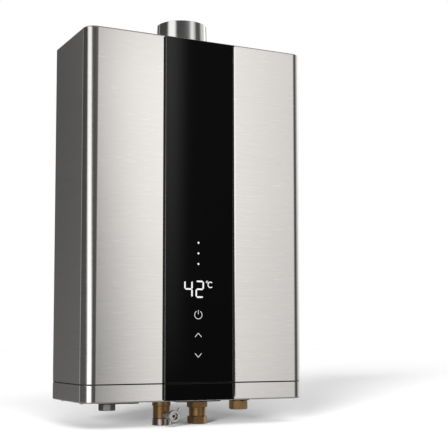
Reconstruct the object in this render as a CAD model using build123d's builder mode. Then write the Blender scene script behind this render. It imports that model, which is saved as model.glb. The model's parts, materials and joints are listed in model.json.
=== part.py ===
"""Wall-hung gas water heater: stainless casing, glass strip, flue collar, fittings and works.

Millimetres. +Z is up and the front faces -Y. The origin is the centre of the rear plate's wall face,
so the casing reaches from the wall plane Y = 0 to Y = -case_depth, half of it below Z = 0.
A height is measured up from the casing's underside and a depth forwards from the wall.
"""

import os
from math import cos, radians, sin

from build123d import *

os.makedirs("parts", exist_ok=True)

# Casing sheet metal
case_width = 370.0
case_depth = 150.0
case_height = 560.0
corner_radius = 18.5
cover_sheet = 0.8
chassis_sheet = 1.2
rear_gap = 1.0
fit_gap = 0.3
press_gap = 0.05
overrun = 3.0
lip_width = 14.0
lip_edge_round = 0.6
skirt_height = 26.4
seam_gap = 1.6
tongue_height = 6.0
tongue_root = 4.0

# Glass strip and its channel
glass_width = 115.6
glass_thickness = 4.0
glass_bevel = 1.8
glass_end_gap = 0.4
tape_thickness = 0.4
tape_width = 12.0
channel_gap = 2.2
channel_inner_bend = 0.4

# Readout behind the glass, with its marks given as heights
window_width = 62.0
window_low = 54.0
window_high = 258.0
board_margin = 8.0
board_thickness = 1.6
digit_block_width = 54.0
digit_block_low = 153.0
digit_block_high = 192.0
dot_block_width = 14.0
dot_block_low = 203.0
dot_block_high = 253.0
touch_pad_radius = 7.0
touch_pad_heights = (132.7, 101.5, 69.8)

# Wall fixing and casing screws
wall_hole_span_x = 240.0
wall_hole_span_z = 430.0
wall_hole_diameter = 8.0
plate_flange = 14.0
screw_radius = 2.0
screw_head_radius = 3.8
screw_head_height = 1.8
screw_length = 8.0
screw_edge = 8.0
screw_span = 90.0

# Air slots in the bottom plate
slot_count = 12
slot_pitch = 24.0
slot_length = 20.0
slot_width = 5.0
slot_row_offset = 46.0

# Flue collar
flue_diameter = 80.0
flue_wall = 1.0
flue_rise = 39.3
flue_depth = 79.0
flue_flange_width = 9.0
flue_gasket_thickness = 2.0

# Bays that the works stand in
side_bay = 80.0
front_bay = 25.0
rear_bay = 20.0
bottom_bay = 150.0
fan_bay = 188.0

# Fan, scroll and exhaust hood
works_sheet = 1.0
scroll_radius = 60.0
scroll_width = 44.0
scroll_outlet_width = 76.0
scroll_flange = 8.0
scroll_flange_thickness = 1.5
fan_drop = 105.0
eye_radius = 30.0
hood_lip = 8.0
hood_gap = 3.0
hood_top_drop = 45.0
impeller_radius = 46.0
impeller_gap = 5.0
impeller_disc = 1.5
impeller_hub_radius = 9.0
blade_count = 24
blade_length = 12.0
blade_thickness = 1.2
blade_angle = 35.0
shaft_radius = 3.0
motor_radius = 32.0
motor_front_gap = 4.8
motor_boss_radius = 12.0
motor_boss_length = 6.0
motor_edge_round = 4.0
motor_bracket_thickness = 3.0
motor_bracket_margin = 6.0
shaft_end_gap = 4.0

# Heat exchanger
gasket_thickness = 2.0
gasket_width = 7.0
pass_count = 5
pass_drop = 30.0
tube_radius = 8.0
tube_wall = 0.9
bend_lead = 4.0
fin_count = 26
fin_thickness = 0.5
fin_height = 40.0
fin_side_gap = 2.0

# Pipes between the fittings and the heat exchanger
pipe_offset = 20.0
pipe_bend = 14.0
pipe_run_gap = 17.0
pipe_nut_corner = 13.0
pipe_nut_height = 12.0

# Burner
burner_height = 82.0
bar_count = 12
bar_width = 11.0
bar_waist = 5.0
bar_height = 58.0
bar_head = 18.0
bar_foot = 22.0
bar_end_gap = 4.0
bar_port_count = 10
bar_port_length = 3.0
bar_port_depth = 4.0
venturi_radius = 4.2
venturi_depth = 30.0
nozzle_height = 12.0
nozzle_slot = 12.0
burner_slot_width = 3.0
burner_slot_length = 80.0

# Gas manifold, nozzles and riser
manifold_gap = 2.0
manifold_depth = 12.0
manifold_height = 16.0
manifold_wall = 2.0
manifold_end = 4.0
nozzle_base_radius = 4.5
nozzle_base_length = 2.0
nozzle_tip_radius = 2.4
nozzle_tip_length = 6.0
nozzle_bore = 0.7
riser_radius = 7.0
riser_wall = 1.2
riser_offset = 9.0
riser_flange = 4.0
riser_flange_thickness = 3.0

# Electrodes through the exchanger's front wall
electrode_count = 3
electrode_pitch = 26.0
electrode_height = 12.0
insulator_radius = 3.5
insulator_collar_radius = 6.0
insulator_collar_length = 4.0
insulator_inside = 9.0
pin_radius = 1.0
pin_length = 22.0

# Gas valve
valve_width = 66.0
valve_height = 60.0
valve_clearance = 22.0
valve_rear = 25.0
valve_front_margin = 2.0
valve_edge_round = 4.0
coil_spacing = 32.0
coil_radius = 14.0
coil_height = 36.0
coil_wall = 3.0
coil_edge_round = 2.0
plunger_radius = 5.5
plunger_length = 30.0
plunger_seat_depth = 8.0
seat_bore_radius = 3.0

# Underside fittings, left to right
pipe_depth = 75.0
gland_x = -121.6
inlet_x = -31.0
outlet_x = 31.0
gas_x = 105.0

# Cable gland and the black plates under the casing
plate_thickness = 5.8
plate_corner = 5.0
gland_plate_left = 15.4
gland_plate_right = 46.3
gland_plate_breadth = 40.0
outlet_plate_left = 42.8
outlet_plate_right = 34.0
outlet_plate_breadth = 40.0
gas_washer_radius = 18.5
gland_corner = 13.96
gland_sides = 8
gland_height = 10.2
gland_turn = 2.5
gland_mouth_radius = 7.6
gland_mouth_depth = 2.0
gland_thread_radius = 9.0
gland_bore = 5.5
gland_nut_corner = 14.0
gland_nut_height = 5.0

# Water and gas connections
tail_radius = 9.6
tail_flange_radius = 11.6
tail_bore = 7.0
water_thread_radius = 12.06
nut_shoulder = 2.0
tail_flange_thickness = 2.0
pocket_gap = 0.5
nut_chamfer = 1.2

inlet_collar_radius = 14.6
inlet_collar_height = 11.2
inlet_body_radius = 13.3
inlet_body_height = 19.0
inlet_neck_radius = 10.5
inlet_neck_height = 18.0
inlet_nut_radius = 14.35
inlet_nut_height = 10.6
inlet_nut_groove = 0.6
filter_radius = 6.6
filter_length = 24.0
filter_wall = 1.0

outlet_lock_corner = 16.55
outlet_lock_height = 9.6
outlet_lock_turn = -18.5
outlet_neck_radius = 13.2
outlet_neck_drop = 12.8
outlet_collar_radius = 16.5
outlet_collar_height = 22.0
outlet_nut_corner = 16.15
outlet_nut_height = 12.0
outlet_nut_turn = -13.0

gas_neck_radius = 9.0
gas_collar_radius = 14.0
gas_tail_radius = 7.0
gas_tail_flange_radius = 8.9
gas_tail_bore = 4.5
gas_thread_radius = 9.32
gas_nut_corner = 15.1
gas_nut_height = 14.4
gas_nut_turn = -27.0

# Drain valve on the inlet
drain_height = 23.8
drain_boss_radius = 5.3
drain_boss_length = 15.0
drain_bore = 3.6
sleeve_length = 32.3
sleeve_rear_radius = 4.8
sleeve_front_radius = 6.8
knob_radius = 9.5
knob_thickness = 5.0
knob_hole_radius = 5.2
knob_edge_round = 0.8
wing_tip_radius = 15.3
wing_root_radius = 8.9
wing_width = 2.4
wing_angle = 53.7
wing_root_angle = 28.0
wing_middle_angle = 53.5
spindle_radius = 3.3
spindle_grip = 2.0
spindle_wall = 0.8
spindle_bore_depth = 18.0

# Flow sensor
sensor_radius = 16.5
sensor_height = 52.0
sensor_wall = 4.0
sensor_cap = 10.0
spider_thickness = 2.0
spider_arm_width = 3.0
rotor_radius = 11.0
rotor_hub_radius = 3.5
rotor_blades = 4
rotor_blade_thickness = 1.6
rotor_height = 20.0
rotor_axle_radius = 1.2
rotor_axle_reach = 1.5

# Temperature sensors
probe_corner = 7.0
probe_hex_length = 6.0
probe_stem_radius = 3.0
probe_height = 14.0
cutout_radius = 8.0
cutout_thickness = 6.0
cutout_drop = 70.0

# Control box, igniter and brackets
control_gap = 4.0
control_low = 160.0
control_height = 180.0
control_depth = 62.0
control_wall = 2.0
control_lid_thickness = 2.5
control_edge_round = 3.0
board_rise = 12.0
relay_size = 16.0
relay_height = 14.0
capacitor_radius = 6.0
capacitor_height = 18.0
igniter_low = 170.0
igniter_height = 66.0
igniter_depth = 44.0
bracket_height = 18.0
bracket_width = 160.0
bracket_foot = 10.0
bracket_low_rise = 24.0
bracket_high_drop = 24.0

# Places worked out from the sizes above
floor_z = -case_height / 2
screw_x = case_width / 2 - screw_edge
screw_hole = screw_radius + press_gap
chassis_half = case_width / 2 - 2 * cover_sheet - 2 * fit_gap
channel_half = glass_width / 2 + channel_gap
channel_depth = glass_thickness + tape_thickness
channel_round = channel_inner_bend + 2 * cover_sheet + fit_gap
channel_inner_depth = case_depth - channel_depth - cover_sheet
cover_low = skirt_height + seam_gap
top_plate_low = case_height - cover_sheet - chassis_sheet
bottom_plate_high = cover_sheet + chassis_sheet
rear_plate_low = bottom_plate_high
flue_radius = flue_diameter / 2
flue_inner = flue_radius - flue_wall

exchanger_half = case_width / 2 - side_bay
exchanger_front = case_depth - front_bay
exchanger_rear = rear_bay
exchanger_depth = exchanger_front - exchanger_rear
exchanger_middle = (exchanger_front + exchanger_rear) / 2
burner_low = bottom_bay
burner_high = burner_low + burner_height
exchanger_low = burner_high + gasket_thickness
exchanger_high = case_height - fan_bay
pass_pitch = exchanger_depth / pass_count
pass_height = exchanger_high - pass_drop
pass_end = exchanger_half + bend_lead
pipe_x = exchanger_half + pipe_offset
pipe_run_height = bottom_bay - pipe_run_gap

scroll_rear = flue_depth - scroll_width / 2
scroll_front = flue_depth + scroll_width / 2
fan_x = scroll_outlet_width / 2 - scroll_radius
fan_height = case_height - fan_drop
scroll_top = top_plate_low - flue_gasket_thickness
hood_step = fan_height - scroll_radius - hood_gap
hood_high = case_height - hood_top_drop
motor_rear = scroll_front + motor_bracket_thickness
motor_front = channel_inner_depth - motor_front_gap
impeller_rear = scroll_rear + works_sheet + impeller_gap
impeller_front = scroll_front - works_sheet - impeller_gap

manifold_rear = exchanger_front + manifold_gap
manifold_middle = manifold_rear + manifold_depth / 2
riser_x = gas_x - riser_offset
bar_pitch = (2 * exchanger_half - 2 * works_sheet) / bar_count
bar_low = burner_low + works_sheet
nozzle_level = bar_low + nozzle_height
manifold_low = nozzle_level - manifold_height / 2

valve_low = valve_clearance
valve_high = valve_low + valve_height
valve_front = manifold_middle + riser_radius + riser_flange + valve_front_margin
valve_back = pipe_depth - valve_rear
plate_low = cover_sheet - plate_thickness
gland_low = plate_low - gland_height
inlet_body_low = cover_sheet - inlet_collar_height - inlet_body_height
outlet_lock_low = plate_low - outlet_lock_height
outlet_neck_low = outlet_lock_low - outlet_neck_drop
inlet_neck_high = cover_sheet + inlet_neck_height
sensor_high = inlet_neck_high + sensor_height
outlet_body_high = bottom_plate_high + outlet_collar_height
boss_front = pipe_depth + drain_boss_length
sleeve_front = boss_front + sleeve_length
knob_rear = sleeve_front + fit_gap


# Planes, outlines and shared shapes


def level(height):
    """Horizontal plane at a height above the casing's underside."""
    return Plane.XY.offset(floor_z + height)


def upright(depth):
    """Vertical plane at a depth from the wall, facing the front."""
    return Plane.XZ.offset(depth)


def sideways(across):
    """Vertical plane at a place across the casing, facing right."""
    return Plane.YZ.offset(across)


def write_piece(piece, name):
    """Labels a finished piece and writes it under the same name."""
    piece.part.label = name
    export_step(piece.part, f"parts/{name}.step")


def casing_outline(inset, rear, has_channel):
    """Plan outline of the casing, moved in from its skin by inset and reaching back to rear."""
    half = case_width / 2 - inset
    front = inset - case_depth
    bend = corner_radius - inset
    slot_half = channel_half + inset
    slot_floor = front + channel_depth
    slot_round = channel_round - inset
    with BuildSketch() as outline:
        with BuildLine():
            Line((half, rear), (-half, rear))
            Line((-half, rear), (-half, front + bend))
            CenterArc((bend - half, front + bend), bend, 180, 90)
            if has_channel:
                Line((bend - half, front), (-slot_half - slot_round, front))
                CenterArc((-slot_half - slot_round, front + slot_round), slot_round, 270, 90)
                Line((-slot_half, front + slot_round), (-slot_half, slot_floor))
                Line((-slot_half, slot_floor), (slot_half, slot_floor))
                Line((slot_half, slot_floor), (slot_half, front + slot_round))
                CenterArc((slot_half + slot_round, front + slot_round), slot_round, 180, 90)
                Line((slot_half + slot_round, front), (half - bend, front))
            else:
                Line((bend - half, front), (half - bend, front))
            CenterArc((half - bend, front + bend), bend, 270, 90)
            Line((half, front + bend), (half, rear))
        make_face()
    return outline.sketch


def casing_band(outer_inset, inner_inset, low, high):
    """Bent sheet round the front and sides, between two insets, open at the rear."""
    with BuildPart() as band:
        with BuildSketch(level(low)):
            add(casing_outline(outer_inset, -rear_gap, True))
            add(casing_outline(inner_inset, overrun, True), mode=Mode.SUBTRACT)
        extrude(amount=high - low)
    return band.part


def casing_lip(low):
    """Inward lip that closes the end of a band and runs across the channel."""
    with BuildPart() as lip:
        with BuildSketch(level(low)):
            add(casing_outline(0, -rear_gap, False))
            add(casing_outline(lip_width, -rear_gap - lip_width, False), mode=Mode.SUBTRACT)
        extrude(amount=cover_sheet)
    return lip.part


def glass_strip(low, high):
    """Glass with bevelled front edges, standing in the channel."""
    with BuildPart() as strip:
        with BuildSketch(upright(case_depth - glass_thickness)):
            with Locations((0, floor_z + (low + high) / 2)):
                Rectangle(glass_width, high - low)
        extrude(amount=glass_thickness)
        sides = strip.faces().sort_by(Axis.Y)[0].edges().filter_by(Axis.Z)
        chamfer(sides, length=glass_bevel)
    return strip


def nut_blank(across, depth, top, height, corner, turn=0.0, sides=6):
    """Nut blank with chamfered corners and six or more flats, its axis upright, turned by an angle."""
    flat = corner * cos(radians(180 / sides))
    with BuildPart() as blank:
        with BuildSketch(level(top)):
            with Locations((across, -depth)):
                RegularPolygon(radius=corner, side_count=sides, rotation=turn)
        extrude(amount=-height)
        with BuildSketch(upright(depth)):
            with BuildLine():
                Polyline(
                    (across, floor_z + top),
                    (across + flat, floor_z + top),
                    (across + corner, floor_z + top - nut_chamfer),
                    (across + corner, floor_z + top - height + nut_chamfer),
                    (across + flat, floor_z + top - height),
                    (across, floor_z + top - height),
                    close=True,
                )
            make_face()
        revolve(axis=Axis((across, -depth, 0), (0, 0, 1)), mode=Mode.INTERSECT)
    return blank.part


def post(across, depth, top, height, radius):
    """Upright cylinder hanging down from a height."""
    with BuildPart() as column:
        with BuildSketch(level(top)):
            with Locations((across, -depth)):
                Circle(radius)
        extrude(amount=-height)
    return column.part


def drill(across, depth, top, height, radius):
    """Cuts an upright round hole, down from a height, in the piece that is being made."""
    add(post(across, depth, top, height, radius), mode=Mode.SUBTRACT)


def union_nut(blank, across, top, height, tail, thread):
    """Captive nut: shoulder over the tail, pocket for the tail's flange, thread below."""
    pocket = fit_gap + tail_flange_thickness + fit_gap
    with BuildPart() as nut:
        add(blank)
        drill(across, pipe_depth, top, height, tail + fit_gap)
        pocket_top = top - nut_shoulder
        pocket_radius = thread + pocket_gap
        drill(across, pipe_depth, pocket_top, pocket, pocket_radius)
        thread_top = pocket_top - pocket
        drill(across, pipe_depth, thread_top, height, thread)
    return nut


def union_tail(across, top, tail, flange):
    """Tail of a fitting with the flange that a union nut pulls up."""
    with BuildPart() as end:
        flange_drop = fit_gap + nut_shoulder + fit_gap
        flange_top = top - flange_drop
        add(post(across, pipe_depth, top, flange_drop + tail_flange_thickness, tail))
        add(post(across, pipe_depth, flange_top, tail_flange_thickness, flange))
    return end.part


def screw_stems(top, length, radius):
    """Four upright cylinders at the casing screws' places."""
    with BuildPart() as stems:
        with BuildSketch(level(top)):
            with Locations((0, -case_depth / 2)):
                with GridLocations(2 * screw_x, screw_span, 2, 2):
                    Circle(radius)
        extrude(amount=-length)
    return stems.part


def round_tube(points, bend, radius, wall):
    """Bent tube along straight runs joined by arcs."""
    with BuildPart() as tube:
        with BuildLine() as route:
            FilletPolyline(*points, radius=bend)
        start_plane = Plane(origin=points[0], z_dir=Vector(*points[1]) - Vector(*points[0]))
        with BuildSketch(start_plane):
            Circle(radius)
            Circle(radius - wall, mode=Mode.SUBTRACT)
        sweep(path=route.line)
    return tube


# Chassis plates

with BuildPart() as rear_plate:
    with BuildSketch(level(rear_plate_low)):
        with Locations((0, -chassis_sheet / 2)):
            Rectangle(2 * chassis_half, chassis_sheet)
        for side in (-1, 1):
            with Locations((side * (chassis_half - chassis_sheet / 2), -plate_flange / 2)):
                Rectangle(chassis_sheet, plate_flange)
    extrude(amount=top_plate_low - rear_plate_low)
    with BuildSketch(upright(-overrun)):
        with GridLocations(wall_hole_span_x, wall_hole_span_z, 2, 2):
            Circle(wall_hole_diameter / 2)
    extrude(amount=chassis_sheet + 2 * overrun, mode=Mode.SUBTRACT)
write_piece(rear_plate, "rear_plate")

with BuildPart() as top_plate:
    with BuildSketch(level(top_plate_low)):
        add(casing_outline(cover_sheet + fit_gap, -rear_gap, True))
        with Locations((0, -flue_depth)):
            Circle(flue_inner, mode=Mode.SUBTRACT)
    extrude(amount=chassis_sheet)
    add(screw_stems(case_height, screw_length, screw_hole), mode=Mode.SUBTRACT)
write_piece(top_plate, "top_plate")

with BuildPart() as bottom_plate:
    with BuildSketch(level(cover_sheet)):
        add(casing_outline(cover_sheet + fit_gap, -rear_gap, True))
        with Locations((gland_x, -pipe_depth)):
            Circle(gland_thread_radius + fit_gap, mode=Mode.SUBTRACT)
        with Locations((inlet_x, -pipe_depth)):
            Circle(inlet_neck_radius + fit_gap, mode=Mode.SUBTRACT)
        with Locations((outlet_x, -pipe_depth)):
            Circle(outlet_neck_radius + fit_gap, mode=Mode.SUBTRACT)
        with Locations((gas_x, -pipe_depth)):
            Circle(gas_neck_radius + fit_gap, mode=Mode.SUBTRACT)
        with Locations((0, -pipe_depth)):
            with GridLocations(slot_pitch, 2 * slot_row_offset, slot_count, 2):
                SlotOverall(slot_length, slot_width, rotation=90, mode=Mode.SUBTRACT)
    extrude(amount=chassis_sheet)
    add(screw_stems(screw_length, screw_length, screw_hole), mode=Mode.SUBTRACT)
write_piece(bottom_plate, "bottom_plate")

# Front cover and skirt

with BuildPart() as front_cover:
    add(casing_band(0, cover_sheet, cover_low, case_height - cover_sheet))
    add(casing_lip(case_height - cover_sheet))
    top_edges = front_cover.faces().sort_by(Axis.Z)[-1].outer_wire().edges()
    fillet(top_edges.filter_by(lambda edge: edge.center().Y < -2 * rear_gap), radius=lip_edge_round)
    with BuildSketch(upright(channel_inner_depth - overrun)):
        with Locations((0, floor_z + (window_low + window_high) / 2)):
            Rectangle(window_width, window_high - window_low)
    extrude(amount=2 * overrun, mode=Mode.SUBTRACT)
    add(screw_stems(case_height, screw_length, screw_hole), mode=Mode.SUBTRACT)
write_piece(front_cover, "front_cover")

with BuildPart() as lower_skirt:
    add(casing_band(0, cover_sheet, cover_sheet, skirt_height))
    add(casing_lip(0))
    bottom_edges = lower_skirt.faces().sort_by(Axis.Z)[0].outer_wire().edges()
    fillet(bottom_edges.filter_by(lambda edge: edge.center().Y < -2 * rear_gap), radius=lip_edge_round)
    tongue_inner = 2 * cover_sheet + fit_gap
    add(casing_band(cover_sheet, tongue_inner, skirt_height - tongue_root, skirt_height))
    tongue_top = cover_low + tongue_height
    add(casing_band(cover_sheet + fit_gap, tongue_inner, skirt_height, tongue_top))
    add(screw_stems(screw_length, screw_length, screw_hole), mode=Mode.SUBTRACT)
write_piece(lower_skirt, "lower_skirt")

with BuildPart() as casing_screws:
    add(screw_stems(case_height + screw_head_height, screw_head_height, screw_head_radius))
    add(screw_stems(case_height, screw_length, screw_radius))
    add(screw_stems(0, screw_head_height, screw_head_radius))
    add(screw_stems(screw_length, screw_length, screw_radius))
write_piece(casing_screws, "casing_screws")

# Glass strip and readout

glass_panel = glass_strip(cover_low, case_height - cover_sheet - glass_end_gap)
write_piece(glass_panel, "glass_panel")

skirt_glass = glass_strip(cover_sheet + glass_end_gap, skirt_height)
write_piece(skirt_glass, "skirt_glass")

with BuildPart() as glass_tape:
    tape_high = case_height - cover_sheet - glass_end_gap
    with BuildSketch(upright(case_depth - channel_depth)):
        for side in (-1, 1):
            tape_x = side * (glass_width / 2 - tape_width / 2)
            with Locations((tape_x, floor_z + (cover_low + tape_high) / 2)):
                Rectangle(tape_width, tape_high - cover_low)
        with Locations((0, floor_z + (cover_sheet + glass_end_gap + skirt_height) / 2)):
            Rectangle(glass_width, skirt_height - cover_sheet - glass_end_gap)
    extrude(amount=tape_thickness)
write_piece(glass_tape, "glass_tape")

with BuildPart() as display_board:
    with BuildSketch(upright(channel_inner_depth)):
        with Locations((0, floor_z + (window_low + window_high) / 2)):
            Rectangle(window_width + 2 * board_margin, window_high - window_low + 2 * board_margin)
    extrude(amount=-board_thickness)
    with BuildSketch(upright(channel_inner_depth)):
        with Locations((0, floor_z + (digit_block_low + digit_block_high) / 2)):
            Rectangle(digit_block_width, digit_block_high - digit_block_low)
        with Locations((0, floor_z + (dot_block_low + dot_block_high) / 2)):
            Rectangle(dot_block_width, dot_block_high - dot_block_low)
    extrude(amount=cover_sheet + tape_thickness)
write_piece(display_board, "display_board")

with BuildPart() as touch_pads:
    with BuildSketch(upright(channel_inner_depth)):
        for pad_height in touch_pad_heights:
            with Locations((0, floor_z + pad_height)):
                Circle(touch_pad_radius)
    extrude(amount=cover_sheet + tape_thickness)
write_piece(touch_pads, "touch_pads")

# Flue collar

with BuildPart() as flue_collar:
    with BuildSketch(level(top_plate_low + chassis_sheet)):
        with Locations((0, -flue_depth)):
            Circle(flue_radius + flue_flange_width)
            Circle(flue_inner, mode=Mode.SUBTRACT)
    extrude(amount=cover_sheet)
    with BuildSketch(level(case_height)):
        with Locations((0, -flue_depth)):
            Circle(flue_radius)
            Circle(flue_inner, mode=Mode.SUBTRACT)
    extrude(amount=flue_rise)
write_piece(flue_collar, "flue_collar")

scroll_flange_size = 2 * (flue_inner + scroll_flange)
with BuildPart() as flue_gasket:
    with BuildSketch(level(scroll_top)):
        with Locations((0, -flue_depth)):
            Rectangle(scroll_flange_size, scroll_flange_size)
            Circle(flue_inner, mode=Mode.SUBTRACT)
    extrude(amount=flue_gasket_thickness)
write_piece(flue_gasket, "flue_gasket")

# Fan, scroll and hood


def scroll_profile(inset, top):
    """Round of the scroll with its outlet rising to top, moved in by inset."""
    with BuildSketch() as profile:
        with Locations((fan_x, floor_z + fan_height)):
            Circle(scroll_radius - inset)
        with Locations((0, floor_z + (fan_height + top) / 2)):
            Rectangle(scroll_outlet_width - 2 * inset, top - fan_height)
    return profile.sketch


with BuildPart() as fan_scroll:
    with BuildSketch(upright(scroll_rear)):
        add(scroll_profile(0, scroll_top))
    extrude(amount=scroll_width)
    with BuildSketch(level(scroll_top)):
        with Locations((0, -flue_depth)):
            Rectangle(scroll_flange_size, scroll_flange_size)
    extrude(amount=-scroll_flange_thickness)
    with BuildSketch(upright(scroll_rear + works_sheet)):
        add(scroll_profile(works_sheet, scroll_top + overrun))
    extrude(amount=scroll_width - 2 * works_sheet, mode=Mode.SUBTRACT)
    with BuildSketch(upright(scroll_rear - overrun)):
        with Locations((fan_x, floor_z + fan_height)):
            Circle(eye_radius)
    extrude(amount=2 * overrun, mode=Mode.SUBTRACT)
    with BuildSketch(upright(scroll_front - overrun)):
        with Locations((fan_x, floor_z + fan_height)):
            Circle(motor_boss_radius + fit_gap)
    extrude(amount=2 * overrun, mode=Mode.SUBTRACT)
write_piece(fan_scroll, "fan_scroll")

with BuildPart() as exhaust_hood:
    hood_points = (
        (-exchanger_front, floor_z + exchanger_high),
        (-exchanger_front, floor_z + exchanger_high + hood_lip),
        (-scroll_rear, floor_z + hood_step),
        (-scroll_rear, floor_z + hood_high),
        (-exchanger_rear, floor_z + hood_high),
        (-exchanger_rear, floor_z + exchanger_high),
    )
    with BuildSketch(sideways(-exchanger_half)):
        with BuildLine():
            Polyline(*hood_points, close=True)
        make_face()
    extrude(amount=2 * exchanger_half)
    with BuildSketch(sideways(works_sheet - exchanger_half)):
        with BuildLine():
            Polyline(*hood_points, close=True)
        make_face()
        offset(amount=-works_sheet, kind=Kind.INTERSECTION)
    extrude(amount=2 * (exchanger_half - works_sheet), mode=Mode.SUBTRACT)
    with BuildSketch(level(exchanger_high)):
        with Locations((0, -exchanger_middle)):
            Rectangle(2 * (exchanger_half - works_sheet), exchanger_depth - 2 * works_sheet)
    extrude(amount=2 * works_sheet, mode=Mode.SUBTRACT)
    with BuildSketch(upright(scroll_rear - overrun)):
        with Locations((fan_x, floor_z + fan_height)):
            Circle(eye_radius)
    extrude(amount=2 * overrun, mode=Mode.SUBTRACT)
write_piece(exhaust_hood, "exhaust_hood")

fan_center = (fan_x, floor_z + fan_height)
with BuildPart() as fan_impeller:
    impeller_width = impeller_front - impeller_rear
    with BuildSketch(upright(impeller_front)):
        with Locations(fan_center):
            Circle(impeller_radius)
    extrude(amount=-impeller_disc)
    with BuildSketch(upright(impeller_front)):
        with Locations(fan_center):
            Circle(impeller_hub_radius)
    extrude(amount=-impeller_width)
    with BuildSketch(upright(impeller_rear)):
        with Locations(fan_center):
            Circle(impeller_radius)
            Circle(impeller_radius - blade_length, mode=Mode.SUBTRACT)
    extrude(amount=impeller_disc)
    with BuildSketch(upright(impeller_rear)):
        with Locations(fan_center):
            with PolarLocations(impeller_radius - blade_length / 2, blade_count):
                Rectangle(blade_length, blade_thickness, rotation=blade_angle)
    extrude(amount=impeller_width)
    with BuildSketch(upright(impeller_rear - overrun)):
        with Locations(fan_center):
            Circle(shaft_radius + press_gap)
    extrude(amount=impeller_width + 2 * overrun, mode=Mode.SUBTRACT)
write_piece(fan_impeller, "fan_impeller")

with BuildPart() as motor_shaft:
    shaft_rear = impeller_rear - shaft_radius
    shaft_front = motor_front - shaft_end_gap
    with BuildSketch(upright(shaft_rear)):
        with Locations(fan_center):
            Circle(shaft_radius)
    extrude(amount=shaft_front - shaft_rear)
write_piece(motor_shaft, "motor_shaft")

with BuildPart() as fan_motor:
    with BuildSketch(upright(motor_rear)):
        with Locations(fan_center):
            Circle(motor_radius)
    extrude(amount=motor_front - motor_rear)
    fillet(fan_motor.faces().sort_by(Axis.Y)[0].edges(), radius=motor_edge_round)
    with BuildSketch(upright(motor_rear)):
        with Locations(fan_center):
            Circle(motor_boss_radius)
    extrude(amount=-motor_boss_length)
    with BuildSketch(upright(shaft_rear)):
        with Locations(fan_center):
            Circle(shaft_radius + fit_gap)
    extrude(amount=shaft_front + fit_gap - shaft_rear, mode=Mode.SUBTRACT)
write_piece(fan_motor, "fan_motor")

with BuildPart() as motor_bracket:
    with BuildSketch(upright(scroll_front)):
        with Locations(fan_center):
            Circle(motor_radius + motor_bracket_margin)
            Circle(motor_boss_radius + fit_gap, mode=Mode.SUBTRACT)
    extrude(amount=motor_bracket_thickness)
write_piece(motor_bracket, "motor_bracket")

# Heat exchanger


def chamber_frame(low, height, wall):
    """Upright rectangular wall on the combustion chamber's plan."""
    with BuildPart() as frame:
        with BuildSketch(level(low)):
            with Locations((0, -exchanger_middle)):
                Rectangle(2 * exchanger_half, exchanger_depth)
                Rectangle(2 * (exchanger_half - wall), exchanger_depth - 2 * wall, mode=Mode.SUBTRACT)
        extrude(amount=height)
    return frame.part


pass_depths = [exchanger_rear + pass_pitch * (index + 1 / 2) for index in range(pass_count)]

with BuildPart() as exchanger_shell:
    add(chamber_frame(exchanger_low, exchanger_high - exchanger_low, works_sheet))
    with BuildSketch(sideways(-exchanger_half - overrun)):
        for pass_depth in pass_depths:
            with Locations((-pass_depth, floor_z + pass_height)):
                Circle(tube_radius + press_gap)
    extrude(amount=2 * (exchanger_half + overrun), mode=Mode.SUBTRACT)
    with BuildSketch(upright(exchanger_front - overrun)):
        with Locations((0, floor_z + exchanger_low + electrode_height)):
            with GridLocations(electrode_pitch, 0, electrode_count, 1):
                Circle(insulator_radius + press_gap)
    extrude(amount=2 * overrun, mode=Mode.SUBTRACT)
write_piece(exchanger_shell, "exchanger_shell")

with BuildPart() as exchanger_fins:
    fin_reach = exchanger_half - works_sheet - fin_side_gap
    fin_pitch = (2 * fin_reach - fin_thickness) / (fin_count - 1)
    fin_planes = [sideways(index * fin_pitch - fin_reach) for index in range(fin_count)]
    with BuildSketch(*fin_planes):
        with Locations((-exchanger_middle, floor_z + pass_height)):
            Rectangle(exchanger_depth - 2 * works_sheet - 2 * fit_gap, fin_height)
        for pass_depth in pass_depths:
            with Locations((-pass_depth, floor_z + pass_height)):
                Circle(tube_radius + press_gap, mode=Mode.SUBTRACT)
    extrude(amount=fin_thickness)
write_piece(exchanger_fins, "exchanger_fins")

with BuildPart() as exchanger_tubes:
    with BuildLine(level(pass_height)) as serpentine:
        for index, pass_depth in enumerate(pass_depths):
            way = 1 if index % 2 == 0 else -1
            Line((-way * pass_end, -pass_depth), (way * pass_end, -pass_depth))
            if index < pass_count - 1:
                bend_center = (way * pass_end, -pass_depth - pass_pitch / 2)
                CenterArc(bend_center, pass_pitch / 2, 90, -180 * way)
    tube_start = (-pass_end, -pass_depths[0], floor_z + pass_height)
    with BuildSketch(Plane(origin=tube_start, z_dir=(1, 0, 0))):
        Circle(tube_radius)
        Circle(tube_radius - tube_wall, mode=Mode.SUBTRACT)
    sweep(path=serpentine.line)
write_piece(exchanger_tubes, "exchanger_tubes")

# Pipes down to the fittings

inlet_pipe = round_tube(
    (
        (inlet_x, -pipe_depth, floor_z + sensor_high),
        (inlet_x, -pipe_depth, floor_z + pipe_run_height),
        (-pipe_x, -pipe_depth, floor_z + pipe_run_height),
        (-pipe_x, -pass_depths[0], floor_z + pipe_run_height),
        (-pipe_x, -pass_depths[0], floor_z + pass_height),
        (-pass_end, -pass_depths[0], floor_z + pass_height),
    ),
    pipe_bend,
    tube_radius,
    tube_wall,
)
write_piece(inlet_pipe, "inlet_pipe")

outlet_pipe = round_tube(
    (
        (outlet_x, -pipe_depth, floor_z + outlet_body_high),
        (outlet_x, -pipe_depth, floor_z + pipe_run_height),
        (outlet_x, -pass_depths[-1], floor_z + pipe_run_height),
        (pipe_x, -pass_depths[-1], floor_z + pipe_run_height),
        (pipe_x, -pass_depths[-1], floor_z + pass_height),
        (pass_end, -pass_depths[-1], floor_z + pass_height),
    ),
    pipe_bend,
    tube_radius,
    tube_wall,
)
write_piece(outlet_pipe, "outlet_pipe")

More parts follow.
